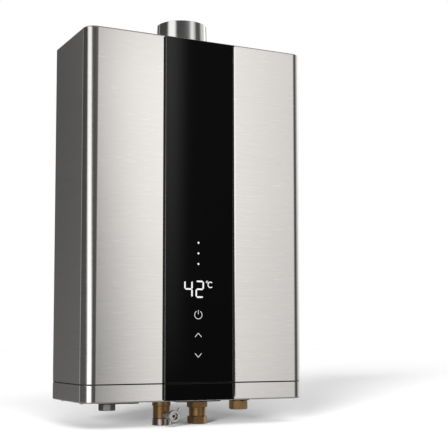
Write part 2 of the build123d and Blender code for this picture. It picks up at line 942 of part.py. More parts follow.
with BuildPart() as pipe_union_nuts:
    for nut_x, nut_low in ((inlet_x, sensor_high), (outlet_x, outlet_body_high)):
        nut_top = nut_low + pipe_nut_height
        add(nut_blank(nut_x, pipe_depth, nut_top, pipe_nut_height, pipe_nut_corner))
        drill(nut_x, pipe_depth, nut_top, pipe_nut_height, tube_radius + press_gap)
write_piece(pipe_union_nuts, "pipe_union_nuts")

# Burner

with BuildPart() as burner_box:
    add(chamber_frame(burner_low, burner_height, works_sheet))
    with BuildSketch(level(burner_low)):
        with Locations((0, -exchanger_middle)):
            Rectangle(2 * exchanger_half, exchanger_depth)
            with GridLocations(bar_pitch, 0, bar_count - 1, 1):
                SlotOverall(burner_slot_length, burner_slot_width, rotation=90, mode=Mode.SUBTRACT)
    extrude(amount=works_sheet)
    with BuildSketch(upright(exchanger_front - overrun)):
        with Locations((0, floor_z + nozzle_level)):
            Rectangle(2 * exchanger_half - bar_pitch / 2, nozzle_slot)
    extrude(amount=2 * overrun, mode=Mode.SUBTRACT)
write_piece(burner_box, "burner_box")

with BuildPart() as burner_bars:
    bar_rear = exchanger_rear + works_sheet + bar_end_gap
    bar_front = exchanger_front - works_sheet - bar_end_gap
    bar_length = bar_front - bar_rear
    with BuildSketch(upright(bar_rear)):
        with Locations((0, floor_z + bar_low)):
            with GridLocations(bar_pitch, 0, bar_count, 1):
                with Locations((0, bar_foot / 2)):
                    RectangleRounded(bar_width, bar_foot, bar_width / 3)
                with Locations((0, bar_height / 2)):
                    Rectangle(bar_waist, bar_height - bar_waist)
                with Locations((0, bar_height - bar_head / 2)):
                    RectangleRounded(bar_width, bar_head, bar_width / 3)
    extrude(amount=bar_length)
    with BuildSketch(upright(bar_front)):
        with Locations((0, floor_z + nozzle_level)):
            with GridLocations(bar_pitch, 0, bar_count, 1):
                Circle(venturi_radius)
    extrude(amount=-venturi_depth, mode=Mode.SUBTRACT)
    with BuildSketch(level(bar_low + bar_height)):
        with Locations((0, -exchanger_middle)):
            with GridLocations(bar_pitch, bar_length / bar_port_count, bar_count, bar_port_count):
                Rectangle(bar_waist, bar_port_length)
    extrude(amount=-bar_port_depth, mode=Mode.SUBTRACT)
write_piece(burner_bars, "burner_bars")

with BuildPart() as chamber_gasket:
    add(chamber_frame(burner_high, gasket_thickness, gasket_width))
write_piece(chamber_gasket, "chamber_gasket")

with BuildPart() as gas_manifold:
    manifold_left = works_sheet - exchanger_half
    manifold_right = riser_x + riser_radius + manifold_end
    manifold_x = (manifold_left + manifold_right) / 2
    manifold_length = manifold_right - manifold_left
    with BuildSketch(level(manifold_low)):
        with Locations((manifold_x, -manifold_middle)):
            Rectangle(manifold_length, manifold_depth)
    extrude(amount=manifold_height)
    with BuildSketch(level(manifold_low + manifold_wall)):
        with Locations((manifold_x, -manifold_middle)):
            Rectangle(manifold_length - 2 * manifold_wall, manifold_depth - 2 * manifold_wall)
    extrude(amount=manifold_height - 2 * manifold_wall, mode=Mode.SUBTRACT)
    riser_bore = riser_radius - riser_wall - manifold_wall
    drill(riser_x, manifold_middle, nozzle_level, manifold_height, riser_bore)
    with BuildSketch(upright(manifold_rear)):
        with Locations((0, floor_z + nozzle_level)):
            with GridLocations(bar_pitch, 0, bar_count, 1):
                Circle(nozzle_bore)
    extrude(amount=manifold_depth / 2, mode=Mode.SUBTRACT)
write_piece(gas_manifold, "gas_manifold")

with BuildPart() as manifold_nozzles:
    nozzle_middle = (0, floor_z + nozzle_level)
    with BuildSketch(upright(manifold_rear)):
        with Locations(nozzle_middle):
            with GridLocations(bar_pitch, 0, bar_count, 1):
                Circle(nozzle_base_radius)
    extrude(amount=-nozzle_base_length)
    with BuildSketch(upright(manifold_rear)):
        with Locations(nozzle_middle):
            with GridLocations(bar_pitch, 0, bar_count, 1):
                Circle(nozzle_tip_radius)
    extrude(amount=-nozzle_base_length - nozzle_tip_length)
    with BuildSketch(upright(manifold_rear)):
        with Locations(nozzle_middle):
            with GridLocations(bar_pitch, 0, bar_count, 1):
                Circle(nozzle_bore)
    extrude(amount=-nozzle_base_length - nozzle_tip_length, mode=Mode.SUBTRACT)
write_piece(manifold_nozzles, "manifold_nozzles")

electrode_middle = (0, floor_z + exchanger_low + electrode_height)
with BuildPart() as electrode_insulators:
    with BuildSketch(upright(exchanger_front - works_sheet - insulator_inside)):
        with Locations(electrode_middle):
            with GridLocations(electrode_pitch, 0, electrode_count, 1):
                Circle(insulator_radius)
    extrude(amount=works_sheet + insulator_inside)
    with BuildSketch(upright(exchanger_front)):
        with Locations(electrode_middle):
            with GridLocations(electrode_pitch, 0, electrode_count, 1):
                Circle(insulator_collar_radius)
    extrude(amount=insulator_collar_length)
    with BuildSketch(upright(exchanger_front - works_sheet - insulator_inside)):
        with Locations(electrode_middle):
            with GridLocations(electrode_pitch, 0, electrode_count, 1):
                Circle(pin_radius + press_gap)
    extrude(amount=works_sheet + insulator_inside + insulator_collar_length, mode=Mode.SUBTRACT)
write_piece(electrode_insulators, "electrode_insulators")

with BuildPart() as electrode_pins:
    pin_front = exchanger_front + insulator_collar_length + insulator_radius
    pin_rear = exchanger_front - works_sheet - insulator_inside - pin_length
    with BuildSketch(upright(pin_rear)):
        with Locations(electrode_middle):
            with GridLocations(electrode_pitch, 0, electrode_count, 1):
                Circle(pin_radius)
    extrude(amount=pin_front - pin_rear)
write_piece(electrode_pins, "electrode_pins")

# Gas valve

main_x = gas_x - coil_spacing / 2
modulating_x = gas_x + coil_spacing / 2
seat_height = valve_high - plunger_seat_depth
plunger_low = seat_height + fit_gap

with BuildPart() as gas_valve_body:
    with BuildSketch(level(valve_low)):
        with Locations((gas_x, -(valve_front + valve_back) / 2)):
            Rectangle(valve_width, valve_front - valve_back)
    extrude(amount=valve_height)
    fillet(gas_valve_body.edges().filter_by(Axis.Z), radius=valve_edge_round)
    for coil_x in (main_x, modulating_x):
        seat_bore = plunger_radius + fit_gap
        drill(coil_x, pipe_depth, valve_high, plunger_seat_depth, seat_bore)
        drill(coil_x, pipe_depth, seat_height, plunger_seat_depth, seat_bore_radius)
    drill(gas_x, pipe_depth, valve_low + plunger_seat_depth, valve_height, gas_tail_bore)
    riser_hole = riser_radius - riser_wall
    drill(riser_x, manifold_middle, valve_high, plunger_seat_depth, riser_hole)
write_piece(gas_valve_body, "gas_valve_body")


def valve_coil(across):
    """Solenoid can with a blind bore for its plunger."""
    with BuildPart() as coil:
        add(post(across, pipe_depth, valve_high + coil_height, coil_height, coil_radius))
        fillet(coil.faces().sort_by(Axis.Z)[-1].edges(), radius=coil_edge_round)
        bore_height = coil_height - coil_wall
        bore_radius = plunger_radius + fit_gap
        drill(across, pipe_depth, valve_high + bore_height, bore_height, bore_radius)
    return coil


def valve_plunger(across):
    """Plunger that stands on the valve seat and lifts into its coil."""
    with BuildPart() as plunger:
        add(post(across, pipe_depth, plunger_low + plunger_length, plunger_length, plunger_radius))
    return plunger


main_solenoid = valve_coil(main_x)
write_piece(main_solenoid, "main_solenoid")

modulating_coil = valve_coil(modulating_x)
write_piece(modulating_coil, "modulating_coil")

main_plunger = valve_plunger(main_x)
write_piece(main_plunger, "main_plunger")

modulating_plunger = valve_plunger(modulating_x)
write_piece(modulating_plunger, "modulating_plunger")

with BuildPart() as gas_riser:
    riser_height = manifold_low - valve_high
    add(post(riser_x, manifold_middle, manifold_low, riser_height, riser_radius))
    flange_radius = riser_radius + riser_flange
    flange_top = valve_high + riser_flange_thickness
    add(post(riser_x, manifold_middle, flange_top, riser_flange_thickness, flange_radius))
    riser_inner = riser_radius - riser_wall
    drill(riser_x, manifold_middle, manifold_low, riser_height, riser_inner)
write_piece(gas_riser, "gas_riser")

# Black plates and cable gland under the casing

with BuildPart() as connection_plates:
    with BuildSketch(level(cover_sheet)):
        gland_plate_x = gland_x + (gland_plate_right - gland_plate_left) / 2
        with Locations((gland_plate_x, -pipe_depth)):
            RectangleRounded(gland_plate_right + gland_plate_left, gland_plate_breadth, plate_corner)
        outlet_plate_x = outlet_x + (outlet_plate_right - outlet_plate_left) / 2
        with Locations((outlet_plate_x, -pipe_depth)):
            RectangleRounded(outlet_plate_right + outlet_plate_left, outlet_plate_breadth, plate_corner)
        with Locations((gas_x, -pipe_depth)):
            Circle(gas_washer_radius)
        with Locations((gland_x, -pipe_depth)):
            Circle(gland_thread_radius + fit_gap, mode=Mode.SUBTRACT)
        with Locations((outlet_x, -pipe_depth)):
            Circle(outlet_neck_radius + fit_gap, mode=Mode.SUBTRACT)
        with Locations((gas_x, -pipe_depth)):
            Circle(gas_neck_radius + fit_gap, mode=Mode.SUBTRACT)
    extrude(amount=-plate_thickness)
write_piece(connection_plates, "connection_plates")

with BuildPart() as cable_gland:
    gland_high = bottom_plate_high + gland_nut_height
    add(nut_blank(gland_x, pipe_depth, plate_low, gland_height, gland_corner, gland_turn, gland_sides))
    add(post(gland_x, pipe_depth, gland_high, gland_high - plate_low, gland_thread_radius))
    add(nut_blank(gland_x, pipe_depth, gland_high, gland_nut_height, gland_nut_corner))
    drill(gland_x, pipe_depth, gland_high, gland_high - gland_low, gland_bore)
    drill(gland_x, pipe_depth, gland_low + gland_mouth_depth, gland_mouth_depth, gland_mouth_radius)
write_piece(cable_gland, "cable_gland")

# Cold water inlet with its drain valve

drain_center = (inlet_x, floor_z - drain_height)
tail_length = 2 * fit_gap + nut_shoulder + tail_flange_thickness
with BuildPart() as inlet_body:
    add(post(inlet_x, pipe_depth, cover_sheet, inlet_collar_height, inlet_collar_radius))
    inlet_collar_low = cover_sheet - inlet_collar_height
    add(post(inlet_x, pipe_depth, inlet_collar_low, inlet_body_height, inlet_body_radius))
    add(post(inlet_x, pipe_depth, inlet_neck_high, inlet_neck_height, inlet_neck_radius))
    add(union_tail(inlet_x, inlet_body_low, tail_radius, tail_flange_radius))
    with BuildSketch(upright(pipe_depth)):
        with Locations(drain_center):
            Circle(drain_boss_radius)
    extrude(amount=drain_boss_length)
    inlet_length = inlet_neck_high - inlet_body_low + tail_length
    drill(inlet_x, pipe_depth, inlet_neck_high, inlet_length, tail_bore)
    with BuildSketch(upright(pipe_depth)):
        with Locations(drain_center):
            Circle(drain_bore)
    extrude(amount=drain_boss_length, mode=Mode.SUBTRACT)
write_piece(inlet_body, "inlet_body")

inlet_nut_top = inlet_body_low - fit_gap
with BuildPart() as inlet_ring:
    add(post(inlet_x, pipe_depth, inlet_nut_top, inlet_nut_height, inlet_nut_radius))
    chamfer(inlet_ring.edges().filter_by(GeomType.CIRCLE), length=inlet_nut_groove)
inlet_union_nut = union_nut(
    inlet_ring.part, inlet_x, inlet_nut_top, inlet_nut_height, tail_radius, water_thread_radius
)
write_piece(inlet_union_nut, "inlet_union_nut")

with BuildPart() as inlet_filter:
    filter_low = inlet_body_low - tail_length
    add(post(inlet_x, pipe_depth, filter_low + filter_length, filter_length, filter_radius))
    filter_hollow = filter_length - filter_wall
    filter_inner = filter_radius - filter_wall
    drill(inlet_x, pipe_depth, filter_low + filter_hollow, filter_hollow, filter_inner)
write_piece(inlet_filter, "inlet_filter")

with BuildPart() as drain_sleeve:
    with BuildSketch(upright(boss_front)):
        with Locations(drain_center):
            Circle(sleeve_rear_radius)
    with BuildSketch(upright(sleeve_front)):
        with Locations(drain_center):
            Circle(sleeve_front_radius)
    loft()
    with BuildSketch(upright(boss_front)):
        with Locations(drain_center):
            Circle(drain_bore)
    extrude(amount=sleeve_length, mode=Mode.SUBTRACT)
write_piece(drain_sleeve, "drain_sleeve")

with BuildPart() as drain_plunger:
    spindle_rear = pipe_depth + tail_bore + fit_gap
    grip_front = knob_rear + spindle_grip
    grip_radius = knob_hole_radius - fit_gap
    with BuildSketch(upright(spindle_rear)):
        with Locations(drain_center):
            Circle(spindle_radius)
    extrude(amount=grip_front - spindle_rear)
    with BuildSketch(upright(knob_rear)):
        with Locations(drain_center):
            Circle(grip_radius)
    extrude(amount=spindle_grip)
    with BuildSketch(upright(knob_rear + spindle_wall)):
        with Locations(drain_center):
            Circle(grip_radius - spindle_wall)
    extrude(amount=spindle_grip - spindle_wall, mode=Mode.SUBTRACT)
    with BuildSketch(upright(grip_front - spindle_bore_depth)):
        with Locations(drain_center):
            Circle(spindle_radius - spindle_wall)
    extrude(amount=spindle_bore_depth, mode=Mode.SUBTRACT)
write_piece(drain_plunger, "drain_plunger")


def wing_point(radius, angle, turn):
    """Point of a knob wing at a radius and angle from the knob's axis."""
    across = inlet_x + radius * cos(radians(angle + turn))
    return (across, floor_z - drain_height + radius * sin(radians(angle + turn)))


with BuildPart() as drain_knob:
    wing_middle_radius = (wing_root_radius + wing_tip_radius) / 2
    with BuildSketch(upright(knob_rear)):
        with Locations(drain_center):
            Circle(knob_radius)
    extrude(amount=knob_thickness)
    fillet(drain_knob.edges().filter_by(GeomType.CIRCLE), radius=knob_edge_round)
    with BuildSketch(upright(knob_rear + knob_edge_round)):
        for turn in (0, 180):
            with BuildLine():
                wing_line = ThreePointArc(
                    wing_point(wing_root_radius, wing_root_angle, turn),
                    wing_point(wing_middle_radius, wing_middle_angle, turn),
                    wing_point(wing_tip_radius, wing_angle, turn),
                )
            SlotArc(wing_line, wing_width)
    extrude(amount=knob_thickness - 2 * knob_edge_round)
    with BuildSketch(upright(knob_rear)):
        with Locations(drain_center):
            Circle(knob_hole_radius)
    extrude(amount=knob_thickness, mode=Mode.SUBTRACT)
write_piece(drain_knob, "drain_knob")

# Flow sensor on the inlet

sensor_low = inlet_neck_high
cavity_low = sensor_low + sensor_cap
cavity_high = sensor_high - sensor_cap
rotor_low = cavity_low + spider_thickness + fit_gap

with BuildPart() as flow_sensor_body:
    add(post(inlet_x, pipe_depth, sensor_high, sensor_height, sensor_radius))
    cavity_radius = sensor_radius - sensor_wall
    drill(inlet_x, pipe_depth, sensor_high, sensor_height, tail_bore)
    drill(inlet_x, pipe_depth, cavity_high, cavity_high - cavity_low, cavity_radius)
    with BuildSketch(level(cavity_low)):
        with Locations((inlet_x, -pipe_depth)):
            Rectangle(2 * cavity_radius, spider_arm_width)
            Rectangle(spider_arm_width, 2 * cavity_radius)
    extrude(amount=spider_thickness)
    axle_hole = rotor_axle_radius + fit_gap
    spider_top = cavity_low + spider_thickness
    drill(inlet_x, pipe_depth, spider_top, spider_thickness, axle_hole)
write_piece(flow_sensor_body, "flow_sensor_body")

with BuildPart() as flow_rotor:
    rotor_high = rotor_low + rotor_height
    with BuildSketch(level(rotor_low)):
        with Locations((inlet_x, -pipe_depth)):
            Circle(rotor_hub_radius)
            with PolarLocations(0, rotor_blades // 2, angular_range=180):
                Rectangle(2 * rotor_radius, rotor_blade_thickness)
    extrude(amount=rotor_height)
    add(post(inlet_x, pipe_depth, rotor_low, rotor_axle_reach, rotor_axle_radius))
write_piece(flow_rotor, "flow_rotor")

# Hot water outlet

with BuildPart() as outlet_body:
    add(post(outlet_x, pipe_depth, outlet_body_high, outlet_collar_height, outlet_collar_radius))
    neck_length = bottom_plate_high - outlet_neck_low
    add(post(outlet_x, pipe_depth, bottom_plate_high, neck_length, outlet_neck_radius))
    add(union_tail(outlet_x, outlet_neck_low, tail_radius, tail_flange_radius))
    outlet_length = outlet_body_high - outlet_neck_low + tail_length
    drill(outlet_x, pipe_depth, outlet_body_high, outlet_length, tail_bore)
    with BuildSketch(upright(pipe_depth)):
        with Locations((outlet_x, floor_z + probe_height)):
            Circle(probe_stem_radius + press_gap)
    extrude(amount=outlet_collar_radius, mode=Mode.SUBTRACT)
write_piece(outlet_body, "outlet_body")

with BuildPart() as outlet_lock_nut:
    add(nut_blank(outlet_x, pipe_depth, plate_low, outlet_lock_height, outlet_lock_corner, outlet_lock_turn))
    lock_bore = outlet_neck_radius + press_gap
    drill(outlet_x, pipe_depth, plate_low, outlet_lock_height, lock_bore)
write_piece(outlet_lock_nut, "outlet_lock_nut")

outlet_nut_top = outlet_neck_low - fit_gap
outlet_union_nut = union_nut(
    nut_blank(outlet_x, pipe_depth, outlet_nut_top, outlet_nut_height, outlet_nut_corner, outlet_nut_turn),
    outlet_x,
    outlet_nut_top,
    outlet_nut_height,
    tail_radius,
    water_thread_radius,
)
write_piece(outlet_union_nut, "outlet_union_nut")

with BuildPart() as temperature_sensors:
    probe_center = (outlet_x, floor_z + probe_height)
    with BuildSketch(upright(pipe_depth + outlet_collar_radius)):
        with Locations(probe_center):
            RegularPolygon(radius=probe_corner, side_count=6)
    extrude(amount=probe_hex_length)
    with BuildSketch(upright(pipe_depth)):
        with Locations(probe_center):
            Circle(probe_stem_radius)
    extrude(amount=outlet_collar_radius)
    with BuildSketch(upright(exchanger_front)):
        with Locations((0, floor_z + exchanger_high - cutout_drop)):
            Circle(cutout_radius)
    extrude(amount=cutout_thickness)
write_piece(temperature_sensors, "temperature_sensors")

# Gas connection

gas_fitting_low = plate_low
with BuildPart() as gas_inlet_fitting:
    add(post(gas_x, pipe_depth, valve_low, valve_low - bottom_plate_high, gas_collar_radius))
    add(post(gas_x, pipe_depth, bottom_plate_high, bottom_plate_high - gas_fitting_low, gas_neck_radius))
    add(union_tail(gas_x, gas_fitting_low, gas_tail_radius, gas_tail_flange_radius))
    gas_length = valve_low - gas_fitting_low + tail_length
    drill(gas_x, pipe_depth, valve_low, gas_length, gas_tail_bore)
write_piece(gas_inlet_fitting, "gas_inlet_fitting")

gas_nut_top = gas_fitting_low - fit_gap
gas_union_nut = union_nut(
    nut_blank(gas_x, pipe_depth, gas_nut_top, gas_nut_height, gas_nut_corner, gas_nut_turn),
    gas_x,
    gas_nut_top,
    gas_nut_height,
    gas_tail_radius,
    gas_thread_radius,
)
write_piece(gas_union_nut, "gas_union_nut")

# Control box, igniter and brackets

control_left = chassis_sheet + fit_gap - chassis_half
control_right = -(pipe_x + tube_radius + control_gap)
control_x = (control_left + control_right) / 2
control_width = control_right - control_left
control_middle = floor_z + control_low + control_height / 2

with BuildPart() as control_box:
    with BuildSketch(upright(chassis_sheet)):
        with Locations((control_x, control_middle)):
            RectangleRounded(control_width, control_height, control_edge_round)
    extrude(amount=control_depth)
    with BuildSketch(upright(chassis_sheet + control_wall)):
        with Locations((control_x, control_middle)):
            Rectangle(control_width - 2 * control_wall, control_height - 2 * control_wall)
    extrude(amount=control_depth, mode=Mode.SUBTRACT)
    with BuildSketch(upright(chassis_sheet + control_wall)):
        with Locations((control_x, control_middle)):
            with GridLocations(0, control_height / 2, 1, 2):
                Circle(control_edge_round)
    extrude(amount=board_rise)
write_piece(control_box, "control_box")

with BuildPart() as control_board:
    board_rear = chassis_sheet + control_wall + board_rise
    board_front = board_rear + board_thickness
    with BuildSketch(upright(board_rear)):
        with Locations((control_x, control_middle)):
            board_width = control_width - 2 * control_wall - 2 * fit_gap
            Rectangle(board_width, control_height - 2 * control_wall - 2 * fit_gap)
    extrude(amount=board_thickness)
    with BuildSketch(upright(board_front)):
        with Locations((control_x, control_middle)):
            with GridLocations(0, control_height / 5, 1, 2):
                Rectangle(relay_size, relay_size)
    extrude(amount=relay_height)
    with BuildSketch(upright(board_front)):
        with Locations((control_x, control_middle)):
            with GridLocations(0, control_height / 2 + control_height / 5, 1, 2):
                Circle(capacitor_radius)
    extrude(amount=capacitor_height)
write_piece(control_board, "control_board")

with BuildPart() as control_lid:
    with BuildSketch(upright(chassis_sheet + control_depth)):
        with Locations((control_x, control_middle)):
            RectangleRounded(control_width, control_height, control_edge_round)
    extrude(amount=control_lid_thickness)
write_piece(control_lid, "control_lid")

with BuildPart() as igniter_module:
    with BuildSketch(upright(chassis_sheet)):
        with Locations((-control_x, floor_z + igniter_low + igniter_height / 2)):
            RectangleRounded(control_width, igniter_height, control_edge_round)
    extrude(amount=igniter_depth)
    fillet(igniter_module.faces().sort_by(Axis.Y)[0].edges(), radius=control_wall)
write_piece(igniter_module, "igniter_module")

with BuildPart() as mounting_brackets:
    bracket_levels = (burner_low + bracket_low_rise, exchanger_high - bracket_high_drop)
    for bracket_level in bracket_levels:
        with BuildSketch(level(bracket_level - bracket_height / 2)):
            bracket_reach = exchanger_rear - chassis_sheet
            for side in (-1, 1):
                foot_x = side * (bracket_width - bracket_foot) / 2
                with Locations((foot_x, -chassis_sheet - works_sheet / 2)):
                    Rectangle(bracket_foot, works_sheet)
                leg_x = side * (bracket_width / 2 - bracket_foot)
                with Locations((leg_x, -chassis_sheet - bracket_reach / 2)):
                    Rectangle(works_sheet, bracket_reach)
            with Locations((0, works_sheet / 2 - exchanger_rear)):
                Rectangle(bracket_width - 2 * bracket_foot, works_sheet)
        extrude(amount=bracket_height)
write_piece(mounting_brackets, "mounting_brackets")
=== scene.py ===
import json
from math import atan2, cos, degrees, hypot, pi, radians, sin

import bmesh
import bpy
from bpy.props import FloatProperty, FloatVectorProperty, IntProperty, PointerProperty
from mathutils import Matrix, Vector


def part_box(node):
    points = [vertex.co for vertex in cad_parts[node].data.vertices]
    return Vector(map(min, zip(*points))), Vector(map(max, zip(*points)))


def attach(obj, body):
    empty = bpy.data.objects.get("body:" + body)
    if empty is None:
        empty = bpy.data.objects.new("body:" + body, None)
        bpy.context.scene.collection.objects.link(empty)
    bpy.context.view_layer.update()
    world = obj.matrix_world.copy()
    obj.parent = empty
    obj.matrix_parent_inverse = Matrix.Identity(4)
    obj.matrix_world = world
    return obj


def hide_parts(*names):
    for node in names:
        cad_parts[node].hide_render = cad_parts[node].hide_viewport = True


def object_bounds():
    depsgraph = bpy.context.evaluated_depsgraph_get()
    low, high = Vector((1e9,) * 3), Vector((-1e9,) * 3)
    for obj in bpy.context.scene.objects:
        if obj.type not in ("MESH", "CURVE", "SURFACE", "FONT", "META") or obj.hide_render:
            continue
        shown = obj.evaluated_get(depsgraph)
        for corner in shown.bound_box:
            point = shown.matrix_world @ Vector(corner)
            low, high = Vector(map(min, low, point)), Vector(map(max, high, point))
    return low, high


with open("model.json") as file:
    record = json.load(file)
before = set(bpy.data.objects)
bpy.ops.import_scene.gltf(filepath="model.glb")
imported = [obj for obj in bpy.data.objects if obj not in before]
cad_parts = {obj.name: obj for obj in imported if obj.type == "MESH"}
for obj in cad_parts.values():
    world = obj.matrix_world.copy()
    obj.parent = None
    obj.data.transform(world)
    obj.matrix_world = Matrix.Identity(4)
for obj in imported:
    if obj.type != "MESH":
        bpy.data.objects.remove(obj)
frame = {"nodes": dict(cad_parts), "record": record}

bl_info = {
    "name": "Wall-hung gas water heater",
    "version": (1, 0, 0),
    "blender": (4, 5, 0),
    "location": "3D View > Sidebar > Water heater",
    "description": "Dresses the water heater's frame with modelled sheet steel, glass, flue and fittings",
    "category": "Object",
}

# Places read from the frame, in metres

cad_low, cad_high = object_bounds()
cover_low, cover_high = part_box("front_cover")
skirt_low, skirt_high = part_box("lower_skirt")
glass_low, glass_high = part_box("glass_panel")
skirt_glass_low, skirt_glass_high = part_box("skirt_glass")
flue_low, flue_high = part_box("flue_collar")
casing_floor = skirt_low.z
front = cover_low.y

# Lengths that count as the same, distance at which vertices merge, and white

tiny = 0.00005
merge = 0.000001
WHITE = (1.0, 1.0, 1.0, 1.0)

# Faces round the turned pieces and steps along the bent ones

ROUND_SIDES = 96
BORE_SIDES = 72
BOSS_SIDES = 64
DRAIN_SIDES = 48
SCREW_SIDES = 40
DOT_SIDES = 32
RING_SIDES = 128
POWER_STEPS = 40
DEGREE_STEPS = 24
WING_STEPS = 16

# Shares of a width: bevel of a bar's ends, gap between bars, rim of a dot, and turning over a nut's corners

END_SHARE = 0.45
GAP_SHARE = 0.18
RIM_SHARE = 0.15
TURNING_SHARE = 1.03

# Corners of the nuts and the gland, and a wing's root, middle and tip: degrees of turn from the right

GLAND_TURN = 2.5
LOCK_TURN = -18.5
OUTLET_TURN = -13.0
GAS_TURN = -27.0
WING_ANGLES = (28.0, 53.5, 53.7)
GLAND_SIDES = 8

# How far the black plates reach to the left and right of what passes through them, in metres

GLAND_PLATE = (0.0154, 0.0463)
OUTLET_PLATE = (0.0428, 0.0340)

# Rings of a screw's head, as shares of its radius and its height

SCREW_CROWN = ((1.0, 0.0), (1.0, 0.35), (0.94, 0.66), (0.78, 0.88), (0.5, 1.0))

# Lit marks: places across and heights above the casing's underside in metres, degrees, strengths of light

SEGMENTS = {"4": "bcfg", "2": "abdeg"}
FIGURES = (("4", -0.0238), ("2", -0.0048))
DOT_HEIGHTS = (0.2417, 0.2254, 0.2091)
POWER_MIDDLE = 0.1310
POWER_RADIUS = 0.0062
POWER_SPAN = (122.0, 418.0)
POWER_BAR = (0.1318, 0.1385)
ARROW_HALF = 0.0056
ARROWS = (("touch_up_mark", 0.0970, 0.1031), ("touch_down_mark", 0.0723, 0.0661))
# Name, place across, height from the top of the digits, radius, stroke, and the degrees at its two ends
DEGREE_MARKS = (
    ("degree_ring", 0.0146, -0.0018, 0.0014, 0.0008, 0.0, 360.0),
    ("degree_letter", 0.0205, -0.0061, 0.0042, 0.0014, 48.0, 312.0),
)
READOUT_LIGHT = 1.0
TOUCH_LIGHT = 0.75

# Floor, lights and the ring of cards, in metres

FLOOR_SIZE = 24.0
FLOOR_GAP = 0.0004
SOFT_PLACE = (-1.5, -1.7, 1.6)
SOFT_SIZE = 1.4
SUN_REACH = 3.0
RING_RADIUS = 3.2
RING_DEPTH = 5.0
RING_MIDDLE = 0.2

# Strip light in the glass: turn to the right in degrees, then metres, and its strength

STRIP_TURN = 21.75
STRIP_REACH = 3.0
STRIP_WIDTH = 0.152
STRIP_SOLID = -0.024
STRIP_LOW = -0.4
STRIP_FULL = 1.0
STRIP_HEIGHT = 2.2
STRIP_LIGHT = 11.4

# Lean of the cards in degrees for each metre of height, more of it below the bend, none behind the side

LEFT_LEAN = 13.0
RIGHT_LEAN = 1.7
LEAN_TURNS = (-16.0, 16.0)
LEAN_BEND = 0.33
LEAN_GAIN = 0.8
SIDE_TURN = -115.0

# What the fittings under the skirt see of the cards

SKIRT_HEIGHTS = (-0.49, -0.46)
FITTING_SHIFT = -6.0
FITTING_TURNS = (-2.0, 7.0)

# Light of the cards, and its shares at the left and at the right, low down and high up

CARD_LIGHT = 1.76
LOW_SHARES = (1.30, 0.83)
HIGH_SHARES = (0.85, 1.21)
SHARE_TURNS = (-40.0, 10.0)
SHARE_HEIGHTS = (-0.7, 0.9)

# Shade high up on the cards that the left of the front shows, and the even grey below and above them

TOP_SHADE = 0.46
TOP_START = (9.0, 14.0)
TOP_END = (19.0, 27.0)
TOP_HEIGHTS = (1.1, 1.65)
GROUND_LIGHT = 0.30
GROUND_HEIGHTS = (-1.5, -0.8)
CEILING_LIGHT = 0.30
CEILING_HEIGHTS = (1.9, 2.5)

# Share of the cards' light by degrees to the right of straight ahead of the front

CARDS = (
    (-180.0, 0.45), (-172.0, 0.065), (-156.0, 0.065), (-153.0, 0.28), (-148.0, 0.28), (-144.0, 0.05),
    (-73.0, 0.05), (-63.0, 0.82), (-58.0, 0.86), (-36.0, 0.86), (-26.0, 0.05), (8.0, 0.055), (12.0, 0.085),
    (15.2, 0.21), (17.2, 0.375), (18.8, 0.54), (20.3, 0.62), (22.5, 0.635), (25.5, 0.60), (27.5, 0.57),
    (31.0, 0.49), (38.0, 0.36), (48.0, 0.05), (68.0, 0.05), (80.0, 0.34), (102.0, 0.42), (109.0, 0.8),
    (118.0, 0.8), (124.0, 0.25), (150.0, 0.18), (165.0, 0.3), (180.0, 0.45),
)


# Settings that a user can change


def length(name, description, default):
    """A length that the user can change."""
    return FloatProperty(name=name, description=description, default=default, unit="LENGTH", precision=5)


def colour(name, description, default):
    """A colour that the user can change."""
    return FloatVectorProperty(
        name=name, description=description, default=default, subtype="COLOR", min=0.0, max=1.0
    )


def rotation(name, description, default):
    """An angle that the user can change, given here in degrees."""
    return FloatProperty(name=name, description=description, default=radians(default), unit="ROTATION")


def amount(name, description, default):
    """A plain number that the user can change."""
    return FloatProperty(name=name, description=description, default=default, precision=3)


class CasingSettings(bpy.types.PropertyGroup):
    """Sizes and colour of the sheet steel casing."""

    corner_radius: length("Corner radius", "Bend radius of the upright front corners", 0.0185)
    corner_steps: IntProperty(name="Corner steps", description="Faces round one front corner", default=20)
    channel_half: length("Channel half width", "Half the width of the channel that holds the glass", 0.060)
    channel_depth: length("Channel depth", "How far the channel floor lies behind the front", 0.0044)
    channel_chamfer: length("Channel chamfer", "Chamfer of the edges beside the glass", 0.0018)
    channel_inner: length("Channel inner radius", "Bend radius at the channel floor", 0.0006)
    sheet: length("Sheet thickness", "Thickness of the steel", 0.0008)
    lip_width: length("Lip width", "Width of the lip that turns in at an end", 0.014)
    lip_round: length("Lip radius", "Bend radius where a lip turns in", 0.0022)
    seam_round: length("Seam edge radius", "Broken edge along the seam", 0.0002)
    skirt_round: length("Skirt edge radius", "Rounded outer edge along the top of the skirt", 0.0006)
    # The black sheet behind the seam is painted shade: it darkens the seam gap, which lies in shade
    shade_sheet: length("Gasket thickness", "Thickness of the black gasket behind the seam", 0.00024)
    shade_sheet_reach: length("Gasket reach", "How far the gasket runs behind the sheets", 0.0012)
    seam_gap: length("Seam gap", "Gap between the cover and the skirt", 0.0016)
    tongue_root: length("Tongue root", "How far the skirt's tongue starts below the seam", 0.004)
    tongue_gap: length("Tongue gap", "Gap between the tongue and the cover's inside", 0.0003)
    steel: colour("Steel", "Colour of the brushed steel", (0.72, 0.697, 0.672))


